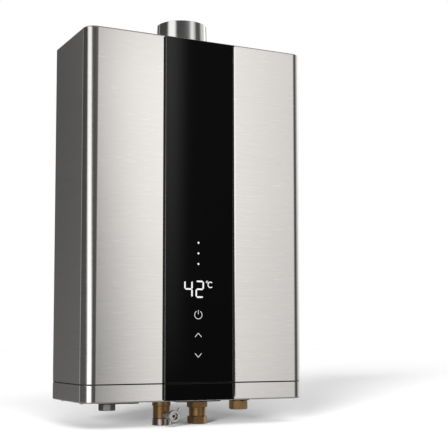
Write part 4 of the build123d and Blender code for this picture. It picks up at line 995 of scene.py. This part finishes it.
class HEATER_OT_glass(bpy.types.Operator):
    """Model the black glass strip in its two lengths"""

    bl_idname = "heater.glass"
    bl_label = "Glass strip"

    def execute(self, context):
        glass = context.scene.heater_glass
        for name, node, low, high, seam in (
            ("glass_strip", "glass_panel", glass_low, glass_high, glass_low.z),
            ("glass_skirt_strip", "skirt_glass", skirt_glass_low, skirt_glass_high, skirt_glass_high.z),
        ):
            strip = block(name, low, high)
            edit(strip)
            bevelled(strip, glass.bevel, 1, lambda e: is_upright(e) and near(e.verts[0].co.y, front))
            bevelled(strip, glass.seam_bevel, 1,
                     lambda e: all(near(v.co.y, front) and near(v.co.z, seam) for v in e.verts))
            put_down()
            finished(strip, "casing", "black_glass", node, edge=glass.edge, angle=30.0)
            self.add_seals(context, name + "_seals", low, high)
        return {"FINISHED"}

    def add_seals(self, context, name, low, high):
        """Black beads that fill the gaps between the glass and its channel: painted shade where those gaps
        lie in shade.
        """
        casing, glass = context.scene.heater_casing, context.scene.heater_glass
        inner, outer = high.x + glass.shade_bead_gap, casing.channel_half - glass.shade_bead_gap
        face, rear = front + glass.shade_bead_depth, front + casing.channel_depth - glass.shade_bead_gap
        beads = []
        for side in (-1, 1):
            near_x, far_x = sorted((side * inner, side * outer))
            bead = block(name, (near_x, face, low.z), (far_x, rear, high.z))
            edit(bead)
            bevelled(bead, glass.shade_bead_round, 3, lambda e: is_upright(e) and near(e.verts[0].co.y, face))
            put_down()
            beads.append(bead)
        finished(gathered(name, beads), "casing", "black_rubber")


# Lit marks on the glass


def mark_bar(name, glass, start, end, width):
    """A flat bar on the glass from one point to another, in (across, height), with pointed ends."""
    run = hypot(end[0] - start[0], end[1] - start[1])
    bar = block(name, (0.0, -width / 2, -glass.proud / 2), (run, width / 2, glass.proud / 2))
    edit(bar)
    bevelled(bar, width * END_SHARE, 1, is_upright)
    put_down()
    turn = atan2(end[1] - start[1], end[0] - start[0])
    bar.rotation_euler = (pi / 2, -turn, 0.0)
    bar.location = (start[0], front - glass.proud / 2, casing_floor + start[1])
    return settled(bar)


def mark_disc(name, glass, across, height, radius):
    """A flat dot on the glass with a softened rim."""
    put_down()
    bpy.ops.mesh.primitive_cylinder_add(
        vertices=DOT_SIDES, radius=radius, depth=glass.proud, rotation=(pi / 2, 0.0, 0.0),
        location=(across, front - glass.proud / 2, casing_floor + height),
    )
    dot = named(name)
    edit(dot)
    pick(dot, "FACE", lambda f: f.normal.y < -0.5)
    bpy.ops.mesh.inset(thickness=radius * RIM_SHARE, depth=0.0)
    put_down()
    return dot


def mark_arc(name, glass, centre, radius, width, start, end, steps):
    """A flat arc on the glass about a point."""
    pivot = (centre[0], front, casing_floor + centre[1])
    return arc_bar(name, pivot, radius, width, glass.proud, start, end, steps)


def arc_bar(name, pivot, radius, width, thick, start, end, steps):
    """A bar bent about a level axis from front to back, spun from a short bar's end."""
    arc = block(
        name,
        (pivot[0] + radius - width / 2, pivot[1] - thick, pivot[2] - tiny),
        (pivot[0] + radius + width / 2, pivot[1], pivot[2]),
    )
    edit(arc)
    pick(arc, "FACE", lambda f: f.normal.z > 0.5)
    bpy.ops.mesh.spin(steps=steps, angle=radians(end - start), center=pivot, axis=(0.0, 1.0, 0.0))
    bpy.ops.mesh.select_all(action="SELECT")
    bpy.ops.mesh.remove_doubles(threshold=merge)
    bpy.ops.mesh.normals_make_consistent(inside=False)
    put_down()
    arc.data.transform(turn_about(pivot, -radians(start)))
    return arc


def turn_about(pivot, angle):
    """The turn about a level axis through a point, from front to back."""
    there = Matrix.Translation(pivot)
    return there @ Matrix.Rotation(angle, 4, "Y") @ there.inverted()


def digit(glass, figure, left):
    """The lit bars of one seven-bar digit."""
    width, height, stroke = glass.digit_width, glass.digit_height, glass.stroke
    low = glass.digit_low
    x0, x1 = left + stroke / 2, left + width - stroke / 2
    z0, z1, z2 = low + stroke / 2, low + height / 2, low + height - stroke / 2
    gap = stroke * GAP_SHARE
    ends = {
        "a": ((x0, z2), (x1, z2)), "b": ((x1, z1), (x1, z2)), "c": ((x1, z0), (x1, z1)),
        "d": ((x0, z0), (x1, z0)), "e": ((x0, z0), (x0, z1)), "f": ((x0, z1), (x0, z2)),
        "g": ((x0, z1), (x1, z1)),
    }
    bars = []
    for letter in SEGMENTS[figure]:
        (ax, az), (bx, bz) = ends[letter]
        run = hypot(bx - ax, bz - az)
        ux, uz = (bx - ax) / run * gap, (bz - az) / run * gap
        name = f"bar_{figure}_{letter}"
        bars.append(mark_bar(name, glass, (ax + ux, az + uz), (bx - ux, bz - uz), stroke))
    return bars


class HEATER_OT_readout(bpy.types.Operator):
    """Model the lit digits, dots and touch marks on the glass"""

    bl_idname = "heater.readout"
    bl_label = "Readout and touch marks"

    def execute(self, context):
        glass = context.scene.heater_glass
        bright = lit_mark("readout_light", glass.light, READOUT_LIGHT)
        soft = lit_mark("touch_light", glass.light, TOUCH_LIGHT)
        line, middle = glass.mark_stroke, glass.mark_across
        bars = [bar for figure, left in FIGURES for bar in digit(glass, figure, middle + left)]
        top = glass.digit_low + glass.digit_height
        for name, across, rise, radius, stroke, start, end in DEGREE_MARKS:
            centre = (middle + across, top + rise)
            bars.append(mark_arc(name, glass, centre, radius, stroke, start, end, DEGREE_STEPS))
        self.finish_marks("readout_digits", bars, bright)
        self.finish_marks("readout_dots", [
            mark_disc(f"dot_{count}", glass, middle, height, glass.dot_radius)
            for count, height in enumerate(DOT_HEIGHTS)
        ], bright)
        self.finish_marks("touch_power_mark", [
            mark_arc("power_ring", glass, (middle, POWER_MIDDLE), POWER_RADIUS, line, *POWER_SPAN,
                     POWER_STEPS),
            mark_bar("power_bar", glass, (middle, POWER_BAR[0]), (middle, POWER_BAR[1]), line),
        ], soft)
        for name, low, tip in ARROWS:
            self.finish_marks(name, [
                mark_bar(name, glass, (middle - ARROW_HALF, low), (middle, tip), line),
                mark_bar(name + "_arm", glass, (middle + ARROW_HALF, low), (middle, tip), line),
            ], soft)
        return {"FINISHED"}

    def finish_marks(self, name, marks, light):
        """Joins marks into one piece and lights it."""
        finished(gathered(name, marks), "casing", "white_plastic", material=light, angle=60.0)


# Flue


class HEATER_OT_flue(bpy.types.Operator):
    """Model the flue collar with its rolled rim and flange"""

    bl_idname = "heater.flue"
    bl_label = "Flue collar"

    def execute(self, context):
        flue = context.scene.heater_flue
        centre = ((flue_low.x + flue_high.x) / 2, (flue_low.y + flue_high.y) / 2)
        flange = (flue_high.x - flue_low.x) / 2
        outer, inner = flue.tube_radius, flue.tube_radius - flue.tube_wall
        deck = flue_low.z + flue.flange_height
        flare, rim = flue.root_flare, flue.tube_wall / 2
        rings = [(inner, flue_low.z), (flange, flue_low.z), (flange, deck - flue.flange_height * 0.3),
                 (flange - flue.flange_height * 0.3, deck)]
        for step in range(6):
            angle = radians(90.0 - 18.0 * step)
            rise = flare - flare * sin(angle)
            rings.append((outer + rise, deck + rise))
        for step in range(9):
            angle = radians(22.5 * step)
            rings.append((outer - rim + rim * cos(angle), flue_high.z - rim + rim * sin(angle)))
        rings.append(rings[0])
        tube = turned("flue_tube", centre, rings, flue.sides)
        finished(tube, "casing", "polished_steel", "flue_collar", angle=40.0)
        return {"FINISHED"}


# Fittings under the casing


def axis_of(node):
    """The upright axis of a node's box, and its lowest and highest level."""
    low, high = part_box(node)
    return ((low.x + high.x) / 2, (low.y + high.y) / 2), low.z, high.z


def nut_blank(name, axis, low, high, corner, turn, fittings, sides=6):
    """A bar with flats, broken edges between them and turned chamfers at both ends."""
    put_down()
    bpy.ops.mesh.primitive_cylinder_add(
        vertices=sides, radius=corner, depth=high - low, rotation=(0.0, 0.0, radians(turn - 90.0)),
        location=(*axis, (low + high) / 2),
    )
    bar = named(name)
    edit(bar)
    bevelled(bar, fittings.nut_edge, 2, is_upright)
    put_down()
    flat = corner * cos(pi / sides)
    wide, slope = corner * TURNING_SHARE, fittings.nut_chamfer / (corner - flat)
    rise = (wide - flat) * slope
    rings = [(flat, low), (wide, low + rise), (wide, high - rise), (flat, high)]
    cut(bar, turned(name + "_turning", axis, rings, ROUND_SIDES, closed=False), "INTERSECT")
    return bar


def bored(piece, axis, rings):
    """Bores a piece with a tool turned from rings."""
    cut(piece, turned(piece.name + "_bore", axis, rings, BORE_SIDES, closed=False))
    return piece


def union_bore(fittings, low, high, bore, thread):
    """Rings of a union nut's inside: thread, pocket for the tail's flange, and shoulder."""
    over, mouth = fittings.mouth, fittings.mouth + fittings.thread_depth
    pocket_high = high - fittings.shoulder
    pocket_low = pocket_high - fittings.pocket
    wide = thread + fittings.pocket_gap
    rings = [(thread + mouth + over, low - over), (thread, low + mouth)]
    pitch = fittings.thread_pitch
    level = low + mouth
    while level + pitch < pocket_low:
        rings += [(thread + fittings.thread_depth, level + pitch / 2), (thread, level + pitch)]
        level += pitch
    return rings + [(thread, pocket_low), (wide, pocket_low), (wide, pocket_high), (bore, pocket_high),
                    (bore, high - over), (bore + 2 * over, high + over)]


class HEATER_OT_nuts(bpy.types.Operator):
    """Model the hexagon nuts and the round union nut"""

    bl_idname = "heater.nuts"
    bl_label = "Nuts"

    def execute(self, context):
        fittings = context.scene.heater_fittings
        for node, body, corner, turn, bore, thread in (
            ("outlet_union_nut", "outlet_nut", fittings.outlet_corner, OUTLET_TURN,
             fittings.water_bore, fittings.water_thread),
            ("gas_union_nut", "gas_nut", fittings.gas_corner, GAS_TURN,
             fittings.gas_bore, fittings.gas_thread),
        ):
            axis, low, high = axis_of(node)
            nut = nut_blank(node + "_hexagon", axis, low, high, corner, turn, fittings)
            bored(nut, axis, union_bore(fittings, low, high, bore, thread))
            finished(nut, body, "brass", node, angle=24.0)
        self.add_lock_nut(fittings)
        self.add_ring_nut(fittings)
        return {"FINISHED"}

    def add_lock_nut(self, fittings):
        """The thin nut that holds the hot water outlet."""
        axis, low, high = axis_of("outlet_lock_nut")
        nut = nut_blank("outlet_lock_hexagon", axis, low, high, fittings.lock_corner, LOCK_TURN, fittings)
        bore, over = fittings.lock_bore, fittings.mouth
        bored(nut, axis, [(bore + 2 * over, low - over), (bore, low + over), (bore, high + over)])
        finished(nut, "casing", "brass", "outlet_lock_nut", angle=24.0)

    def add_ring_nut(self, fittings):
        """The round union nut of the cold water inlet."""
        axis, low, high = axis_of("inlet_union_nut")
        box_low, box_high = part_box("inlet_union_nut")
        radius, edge = (box_high.x - box_low.x) / 2, fittings.turning_edge
        rings = [(radius - edge, low), (radius, low + edge), (radius, high - edge), (radius - edge, high)]
        ring = turned("inlet_ring_nut", axis, rings, ROUND_SIDES, closed=False)
        bored(ring, axis, union_bore(fittings, low, high, fittings.water_bore, fittings.water_thread))
        plating = finishes()["brown_nickel"]
        finished(ring, "inlet_nut", "nickel", "inlet_union_nut", material=plating, angle=24.0)


class HEATER_OT_gland(bpy.types.Operator):
    """Model the cable gland and its inner nut"""

    bl_idname = "heater.gland"
    bl_label = "Cable gland"

    def execute(self, context):
        fittings = context.scene.heater_fittings
        axis, low, high = axis_of("cable_gland")
        seat = low + fittings.gland_height
        gland = nut_blank("gland_body", axis, low, seat, fittings.gland_corner, GLAND_TURN, fittings,
                          GLAND_SIDES)
        thread, over = fittings.gland_thread, fittings.mouth
        stem_rings = [(thread, seat - over), (thread, high)]
        cut(gland, turned("gland_stem", axis, stem_rings, ROUND_SIDES, closed=False), "UNION")
        nut_low, nut_corner = high - fittings.gland_inner_height, fittings.gland_inner_corner
        cut(gland, nut_blank("gland_nut", axis, nut_low, high, nut_corner, 0.0, fittings), "UNION")
        bore, mouth, rest = fittings.gland_bore, fittings.gland_mouth, low + fittings.gland_mouth_depth
        bored(gland, axis, [(mouth + 2 * over, low - over), (mouth, low + over), (mouth, rest),
                            (bore, rest), (bore, high + over)])
        finished(gland, "casing", "nickel", "cable_gland", material=finishes()["dull_nickel"], angle=24.0)
        return {"FINISHED"}


class HEATER_OT_inlet(bpy.types.Operator):
    """Model the cold water inlet's turned body and its drain boss"""

    bl_idname = "heater.inlet"
    bl_label = "Cold water inlet"

    def execute(self, context):
        fittings = context.scene.heater_fittings
        low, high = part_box("inlet_body")
        axis = ((low.x + high.x) / 2, high.y - fittings.inlet_collar)
        edge, flange = fittings.turning_edge, fittings.tail_flange
        flange_high = low.z + fittings.tail_flange_height
        collar_high = casing_floor + context.scene.heater_casing.sheet
        collar_low = collar_high - fittings.inlet_collar_height
        body_low = collar_low - fittings.inlet_body_height
        tail, body, collar = fittings.tail, fittings.inlet_body, fittings.inlet_collar
        rings = [
            (flange, low.z), (flange, flange_high), (tail, flange_high), (tail, body_low),
            (body - edge, body_low), (body, body_low + edge), (body, collar_low - edge),
            (collar - edge, collar_low), (collar, collar_low + edge), (collar, collar_high - edge),
            (collar - edge, collar_high), (fittings.inlet_neck, collar_high), (fittings.inlet_neck, high.z),
        ]
        inlet = turned("inlet_turned_body", axis, rings, ROUND_SIDES, closed=False)
        drain_low, drain_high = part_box("drain_sleeve")
        level = (drain_low.z + drain_high.z) / 2
        boss, bore = fittings.drain_boss, fittings.drain_bore
        reach = -drain_high.y
        boss_rings = [(boss, -axis[1]), (boss, reach - edge), (boss - edge, reach)]
        stub = turned("inlet_boss", (0.0, 0.0), boss_rings, BOSS_SIDES, closed=False)
        cut(inlet, forward(stub, axis[0], level), "UNION")
        over = fittings.mouth
        bored(inlet, axis, [(fittings.tail_bore, low.z - over), (fittings.tail_bore, high.z + over)])
        drain_rings = [(bore, -axis[1]), (bore, reach + over)]
        drill = turned("inlet_drain", (0.0, 0.0), drain_rings, DRAIN_SIDES, closed=False)
        cut(inlet, forward(drill, axis[0], level))
        finished(inlet, "casing", "brass", "inlet_body", angle=24.0)
        return {"FINISHED"}


def forward(piece, across, level):
    """Lays a piece turned about the upright axis towards the front, at a place across and a level."""
    piece.rotation_euler = (pi / 2, 0.0, 0.0)
    piece.location = (across, 0.0, level)
    return settled(piece)


class HEATER_OT_drain(bpy.types.Operator):
    """Model the drain valve's sleeve and its winged knob"""

    bl_idname = "heater.drain"
    bl_label = "Drain valve"

    def execute(self, context):
        fittings = context.scene.heater_fittings
        low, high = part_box("drain_sleeve")
        across, level = (low.x + high.x) / 2, (low.z + high.z) / 2
        edge, bore = fittings.turning_edge, fittings.drain_bore
        rear, mouth = -high.y, -low.y
        wide = (high.x - low.x) / 2
        rings = [(bore, rear), (fittings.sleeve_rear, rear), (wide, mouth - edge * 2),
                 (wide - edge, mouth - edge / 2), (wide - edge * 2, mouth), (bore, mouth), (bore, rear)]
        sleeve = forward(turned("drain_tapered_sleeve", (0.0, 0.0), rings, BORE_SIDES), across, level)
        plating = finishes()["satin_nickel"]
        finished(sleeve, "casing", "nickel", "drain_sleeve", material=plating, angle=30.0)
        low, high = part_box("drain_knob")
        knob = self.knob(fittings, across, level, -high.y, -low.y)
        finished(knob, "drain_spindle", "nickel", "drain_knob", angle=30.0)
        return {"FINISHED"}

    def knob(self, fittings, across, level, rear, face):
        """The knob: a ring with rounded edges and two bent wings."""
        edge, hole, radius = fittings.knob_edge, fittings.knob_hole, fittings.knob
        rings = [(hole, rear), (radius - edge, rear)]
        for step in range(1, 5):
            angle = radians(22.5 * step)
            rings.append((radius - edge + edge * sin(angle), rear + edge - edge * cos(angle)))
        for step in range(5):
            angle = radians(22.5 * step)
            rings.append((radius - edge + edge * cos(angle), face - edge + edge * sin(angle)))
        rings += [(hole + edge / 2, face), (hole, face - edge / 2), (hole, rear)]
        knob = forward(turned("drain_winged_knob", (0.0, 0.0), rings, BORE_SIDES), across, level)
        for turn in (0.0, 180.0):
            cut(knob, self.wing(fittings, across, level, rear + edge, face - edge, turn), "UNION")
        return knob

    def wing(self, fittings, across, level, rear, face, turn):
        """One wing, bent along an arc through its root, middle and tip."""
        spots = []
        root, tip = fittings.wing_root, fittings.wing_tip
        for reach, heading in zip((root, (root + tip) / 2, tip), WING_ANGLES):
            heading = radians(heading + turn)
            spots.append(Vector((across + reach * cos(heading), level + reach * sin(heading))))
        centre = arc_centre(*spots)
        radius = (spots[0] - centre).length
        start, end = (degrees(atan2(*reversed(spot - centre))) for spot in (spots[0], spots[2]))
        sweep = (end - start + 180.0) % 360.0 - 180.0
        start = start if sweep > 0.0 else end
        width = fittings.wing_width
        pivot = (centre.x, -rear, centre.y)
        wing = arc_bar("drain_wing", pivot, radius, width, face - rear, start, start + abs(sweep),
                       WING_STEPS)
        edit(wing)
        bevelled(wing, width * END_SHARE, 5,
                 lambda e: abs(edge_line(e)[1].y) > 0.99 and e.calc_face_angle(0.0) > radians(60.0))
        put_down()
        return wing


def arc_centre(first, second, third):
    """The middle of the circle through three points of a plane."""
    ax, ay = second - first
    bx, by = third - first
    cross = 2.0 * (ax * by - ay * bx)
    along, over = ax * ax + ay * ay, bx * bx + by * by
    return first + Vector(((by * along - ay * over) / cross, (ax * over - bx * along) / cross))


class HEATER_OT_plates(bpy.types.Operator):
    """Model the black plates and the washer behind the fittings"""

    bl_idname = "heater.plates"
    bl_label = "Black plates"

    def execute(self, context):
        fittings = context.scene.heater_fittings
        low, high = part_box("connection_plates")
        half, gap, over = fittings.plate_half, fittings.plate_gap, fittings.mouth
        pieces = []
        for node, hole, left, right in (
            ("cable_gland", fittings.gland_thread, *GLAND_PLATE),
            ("outlet_lock_nut", fittings.outlet_neck, *OUTLET_PLATE),
        ):
            x, y = axis = axis_of(node)[0]
            plate = block("black_plates", (x - left, y - half, low.z), (x + right, y + half, high.z))
            edit(plate)
            bevelled(plate, fittings.plate_corner, 8, is_upright)
            bevelled(plate, fittings.plate_edge, 3, lambda e: all(near(v.co.z, low.z) for v in e.verts))
            put_down()
            bored(plate, axis, [(hole + gap, low.z - over), (hole + gap, high.z + over)])
            pieces.append(plate)
        axis = axis_of("gas_union_nut")[0]
        edge, radius, hole = fittings.plate_edge, fittings.washer, fittings.gas_neck + gap
        rings = [(hole, low.z), (radius - edge, low.z), (radius, low.z + edge), (radius, high.z),
                 (hole, high.z), (hole, low.z)]
        pieces.append(turned("black_washer", axis, rings, ROUND_SIDES))
        plates = gathered("black_plates", pieces)
        finished(plates, "casing", "black_plastic", "connection_plates", angle=30.0)
        return {"FINISHED"}


class HEATER_OT_screws(bpy.types.Operator):
    """Model one casing screw and copy it to the eight places"""

    bl_idname = "heater.screws"
    bl_label = "Casing screws"

    def execute(self, context):
        fittings = context.scene.heater_fittings
        low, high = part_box("casing_screws")
        shank, head = fittings.screw_shank, fittings.screw_head
        seat = high.z - fittings.screw_head_height
        tip = seat - fittings.screw_length
        edge, crown = fittings.turning_edge, fittings.screw_head_height
        rings = [(shank - edge, tip), (shank, tip + edge), (shank, seat)]
        rings += [(head * wide, seat + crown * rise) for wide, rise in SCREW_CROWN]
        first = turned("casing_screw", (0.0, 0.0), rings, SCREW_SIDES, closed=False)
        wide, deep, half = fittings.recess_width / 2, fittings.recess_depth, fittings.recess_length / 2
        for across, along in ((half, wide), (wide, half)):
            cut(first, block("recess", (-across, -along, high.z - deep), (across, along, high.z + deep)))
        screws = []
        for across in (low.x + head, high.x - head):
            for along in (low.y + head, high.y - head):
                for turn in (0.0, pi):
                    take_up(first)
                    bpy.ops.object.duplicate(linked=False)
                    copy = bpy.context.object
                    copy.rotation_euler = (turn, 0.0, 0.0)
                    copy.location = (across, along, 0.0)
                    screws.append(settled(copy))
        bpy.data.objects.remove(first)
        screws = gathered("casing_screw_set", screws)
        finished(screws, "casing", "bright_steel", "casing_screws", angle=30.0)
        return {"FINISHED"}


# Finishes of the frame, and the stage


class HEATER_OT_dress(bpy.types.Operator):
    """Give every frame node its finish"""

    bl_idname = "heater.dress"
    bl_label = "Finishes of the frame nodes"

    def execute(self, context):
        ready = finishes()
        for entry in frame["record"]["subparts"]:
            node = frame["nodes"][entry["node"]]
            node.data.materials.clear()
            node.data.materials.append(ready[entry["material_slot"]])
        return {"FINISHED"}


class HEATER_OT_stage(bpy.types.Operator):
    """Set the floor, the light and the camera"""

    bl_idname = "heater.stage"
    bl_label = "Stage"

    def execute(self, context):
        scene = context.scene
        stage = scene.heater_stage
        self.set_surroundings(scene, stage)
        floor = self.add_floor(stage)
        self.add_cards()
        self.add_strip()
        self.add_lights(stage, floor)
        self.add_camera(scene, stage)
        scene.view_settings.view_transform = "Standard"
        return {"FINISHED"}

    def set_surroundings(self, scene, stage):
        """White surroundings: full strength to the eye and in metal and glass, less on matt surfaces."""
        world = bpy.data.worlds.new("studio")
        world.use_nodes = True
        scene.world = world
        finish = Finish(world.node_tree)
        seen = self.seen_straight(finish)
        strength = stage.sky_share + seen * (1.0 - stage.sky_share)
        light = finish.node("Background", sockets={"Color": WHITE, "Strength": strength})
        finish.node("OutputWorld", sockets={"Surface": light})

    def seen_straight(self, finish):
        """1 for a ray from the eye, from metal or through glass."""
        eye = finish.node("LightPath", output="Is Camera Ray")
        metal = finish.node("LightPath", output="Is Glossy Ray")
        through = finish.node("LightPath", output="Is Transmission Ray")
        return finish.node("Math", {"operation": "MINIMUM"}, {0: eye + metal + through, 1: 1.0})

    def add_floor(self, stage):
        """Pale floor under the lowest fitting, white away from the shadow."""
        put_down()
        bpy.ops.mesh.primitive_plane_add(size=FLOOR_SIZE, location=(0.0, 0.0, cad_low.z - FLOOR_GAP))
        floor = named("studio_floor")
        edit(floor)
        bpy.ops.mesh.select_all(action="SELECT")
        bpy.ops.mesh.subdivide(number_cuts=3)
        put_down()
        made, finish = material_for("studio_floor")
        lift = self.seen_straight(finish) * stage.floor_lift
        cloud = finish.noise((0.7, 0.7, 0.7), 2.0)
        shader = finish.node("BsdfPrincipled", sockets={
            "Base Color": finish.mixed(cloud, tinted(stage.floor, 0.99), tinted(stage.floor, 1.0)),
            "Roughness": 0.9,
            "Specular IOR Level": 0.0,
            "Emission Color": WHITE,
            "Emission Strength": lift,
        })
        clear = finish.node("BsdfTransparent", sockets={"Color": WHITE})
        below = finish.node("NewGeometry", output="Backfacing")
        both = finish.node("MixShader", sockets={0: below, 1: shader, 2: clear})
        finish.node("OutputMaterial", sockets={"Surface": both})
        floor.data.materials.append(made)
        floor.visible_glossy = False
        return floor

    def card_light(self, finish):
        """Brightness of a card by its turn about the upright axis and its height."""
        spot = finish.node("TexCoord", output="Object")
        across, along, height = (finish.node("SeparateXYZ", sockets={0: spot}, output=axis)
                                 for axis in "XYZ")
        around = finish.node("Math", {"operation": "ARCTAN2"}, {0: across, 1: along * -1.0})

        def by_turn(turns, ends=(0.0, 1.0)):
            """A number that goes from one end to the other between two turns."""
            return finish.slope(around, [radians(turn) for turn in turns], ends)

        lean = by_turn(LEAN_TURNS, (LEFT_LEAN / 360.0, RIGHT_LEAN / 360.0))
        bend = by_turn(LEAN_TURNS, (LEFT_LEAN * LEAN_GAIN / 360.0, 0.0))
        dip = finish.node("Math", {"operation": "MINIMUM"}, {0: height - LEAN_BEND, 1: 0.0})
        casing = finish.slope(height, SKIRT_HEIGHTS)
        aside = by_turn(FITTING_TURNS, (FITTING_SHIFT / 360.0, 0.0))
        shift = (height * lean + dip * bend) * casing + aside * (1.0 - casing)
        share = around / (2.0 * pi) + 0.5 + shift * (around > radians(SIDE_TURN))
        stops = [(0.5 + turn / 360.0, (shade, shade, shade)) for turn, shade in CARDS]
        table = finish.node("ValToRGB", {"stops": stops}, {"Fac": share}, output="Color")
        low, high = (by_turn(SHARE_TURNS, (left * CARD_LIGHT, right * CARD_LIGHT))
                     for left, right in (LOW_SHARES, HIGH_SHARES))
        rise = finish.slope(height, SHARE_HEIGHTS, (low, high), "LINEAR")
        shaded = by_turn(TOP_START) * (1.0 - by_turn(TOP_END)) * finish.slope(height, TOP_HEIGHTS)
        cards = finish.node("RGBToBW", sockets={"Color": table}) * rise * (1.0 - shaded * TOP_SHADE)
        ground = finish.slope(height, GROUND_HEIGHTS, (1.0, 0.0))
        ceiling = finish.slope(height, CEILING_HEIGHTS)
        return cards * (1.0 - ground) * (1.0 - ceiling) + ground * GROUND_LIGHT + ceiling * CEILING_LIGHT

    def add_cards(self):
        """Ring of light and dark cards that only the metal and the glass reflect."""
        put_down()
        bpy.ops.mesh.primitive_cylinder_add(
            vertices=RING_SIDES, radius=RING_RADIUS, depth=RING_DEPTH, end_fill_type="NGON",
            location=(0.0, 0.0, RING_MIDDLE),
        )
        ring = named("studio_cards")
        made, finish = material_for("studio_cards")
        light = finish.node("Emission", sockets={"Color": WHITE, "Strength": self.card_light(finish)})
        finish.node("OutputMaterial", sockets={"Surface": light})
        ring.data.materials.append(made)
        self.show_in_gloss_alone(ring)

    def show_in_gloss_alone(self, card):
        """Leaves a card visible in metal and glass alone."""
        for kind in ("camera", "diffuse", "shadow", "transmission", "volume_scatter"):
            setattr(card, "visible_" + kind, False)

    def add_strip(self):
        """Narrow upright light at the front right, seen as the soft streak in the glass."""
        put_down()
        turn, reach = radians(STRIP_TURN), STRIP_REACH
        bpy.ops.mesh.primitive_plane_add(
            size=1.0, rotation=(pi / 2, 0.0, turn),
            location=(reach * sin(turn), -reach * cos(turn), STRIP_LOW + STRIP_HEIGHT / 2),
        )
        bpy.context.object.scale = (STRIP_WIDTH, STRIP_HEIGHT, 1.0)
        strip = named("studio_strip")
        made, finish = material_for("studio_strip")
        spot = finish.node("TexCoord", output="Object")
        height = finish.node("SeparateXYZ", sockets={0: spot}, output="Z")
        level = {0: spot, 1: (cos(turn), sin(turn), 0.0)}
        across = finish.node("VectorMath", {"operation": "DOT_PRODUCT"}, level, "Value")
        rise = finish.slope(height, (STRIP_LOW, STRIP_FULL), kind="LINEAR")
        fade = finish.slope(across, (STRIP_WIDTH / 2, STRIP_SOLID))
        light = finish.node("Emission", sockets={"Color": WHITE, "Strength": rise * fade * STRIP_LIGHT})
        clear = finish.node("BsdfTransparent", sockets={"Color": WHITE})
        both = finish.node("AddShader", sockets={0: light, 1: clear})
        finish.node("OutputMaterial", sockets={"Surface": both})
        strip.data.materials.append(made)
        lit = bpy.data.collections.new("lit_glass")
        for name in ("glass_strip", "glass_skirt_strip"):
            lit.objects.link(bpy.data.objects[name])
        strip.light_linking.receiver_collection = lit
        self.show_in_gloss_alone(strip)

    def add_lights(self, stage, floor):
        """A soft light for the object, and a low and a high one that draw its shadows on the floor."""
        put_down()
        place = Vector(SOFT_PLACE)
        bpy.ops.object.light_add(type="AREA", location=place)
        soft = bpy.context.object
        soft.name = "soft_light"
        soft.data.shape = "DISK"
        soft.data.size = SOFT_SIZE
        soft.data.energy = stage.soft_power
        soft.rotation_euler = (-place).to_track_quat("-Z", "Y").to_euler()
        soft.visible_glossy = False
        lit = bpy.data.collections.new("lit_floor")
        lit.objects.link(floor)
        for name, turn, height, spread, strength in (
            ("long_shadow_light", stage.long_turn, stage.long_height, stage.long_spread, stage.long_light),
            ("short_shadow_light", stage.short_turn, stage.short_height, stage.short_spread,
             stage.short_light),
        ):
            put_down()
            away = Vector((-sin(turn) * cos(height), -cos(turn) * cos(height), sin(height)))
            bpy.ops.object.light_add(type="SUN", location=away * SUN_REACH)
            sun = bpy.context.object
            sun.name = name
            sun.data.angle = spread
            sun.data.energy = strength
            sun.rotation_euler = (-away).to_track_quat("-Z", "Y").to_euler()
            sun.visible_glossy = False
            sun.light_linking.receiver_collection = lit

    def add_camera(self, scene, stage):
        """The photograph's viewpoint."""
        put_down()
        yaw, pitch = stage.camera_yaw, stage.camera_pitch
        ahead = Vector((sin(yaw) * cos(pitch), cos(yaw) * cos(pitch), sin(pitch)))
        facing = ahead.to_track_quat("-Z", "Y").to_euler()
        bpy.ops.object.camera_add(location=stage.camera_place, rotation=facing)
        camera = bpy.context.object
        camera.name = "photo_camera"
        camera.data.sensor_width = 36.0
        camera.data.lens = stage.lens
        camera.data.shift_y = stage.lens_shift
        camera.data.clip_start = 0.05
        camera.data.clip_end = 60.0
        scene.camera = camera


# Classes and panel


CLASSES = (
    CasingSettings, GlassSettings, FlueSettings, FittingSettings, StageSettings,
    HEATER_OT_cover, HEATER_OT_skirt, HEATER_OT_glass, HEATER_OT_readout, HEATER_OT_flue,
    HEATER_OT_nuts, HEATER_OT_gland, HEATER_OT_inlet, HEATER_OT_drain, HEATER_OT_plates, HEATER_OT_screws,
    HEATER_OT_dress, HEATER_OT_stage,
)
OPERATORS = [made for made in CLASSES if issubclass(made, bpy.types.Operator)]
SETTINGS = {
    "heater_casing": CasingSettings,
    "heater_glass": GlassSettings,
    "heater_flue": FlueSettings,
    "heater_fittings": FittingSettings,
    "heater_stage": StageSettings,
}


class HEATER_PT_panel(bpy.types.Panel):
    """The pieces of the water heater and their settings"""

    bl_idname = "HEATER_PT_panel"
    bl_label = "Water heater"
    bl_space_type = "VIEW_3D"
    bl_region_type = "UI"
    bl_category = "Water heater"

    def draw(self, context):
        column = self.layout.column()
        for operator in OPERATORS:
            column.operator(operator.bl_idname)
        for name, group in SETTINGS.items():
            box = self.layout.box()
            box.label(text=name.replace("heater_", "").capitalize())
            for key in group.__annotations__:
                box.prop(getattr(context.scene, name), key)


def register():
    for made in (*CLASSES, HEATER_PT_panel):
        bpy.utils.register_class(made)
    for name, group in SETTINGS.items():
        setattr(bpy.types.Scene, name, PointerProperty(type=group))


def unregister():
    for name in SETTINGS:
        delattr(bpy.types.Scene, name)
    for made in reversed((*CLASSES, HEATER_PT_panel)):
        bpy.utils.unregister_class(made)


def main():
    register()
    for operator in OPERATORS:
        family, name = operator.bl_idname.split(".")
        getattr(getattr(bpy.ops, family), name)()


if __name__ == "__main__":
    main()
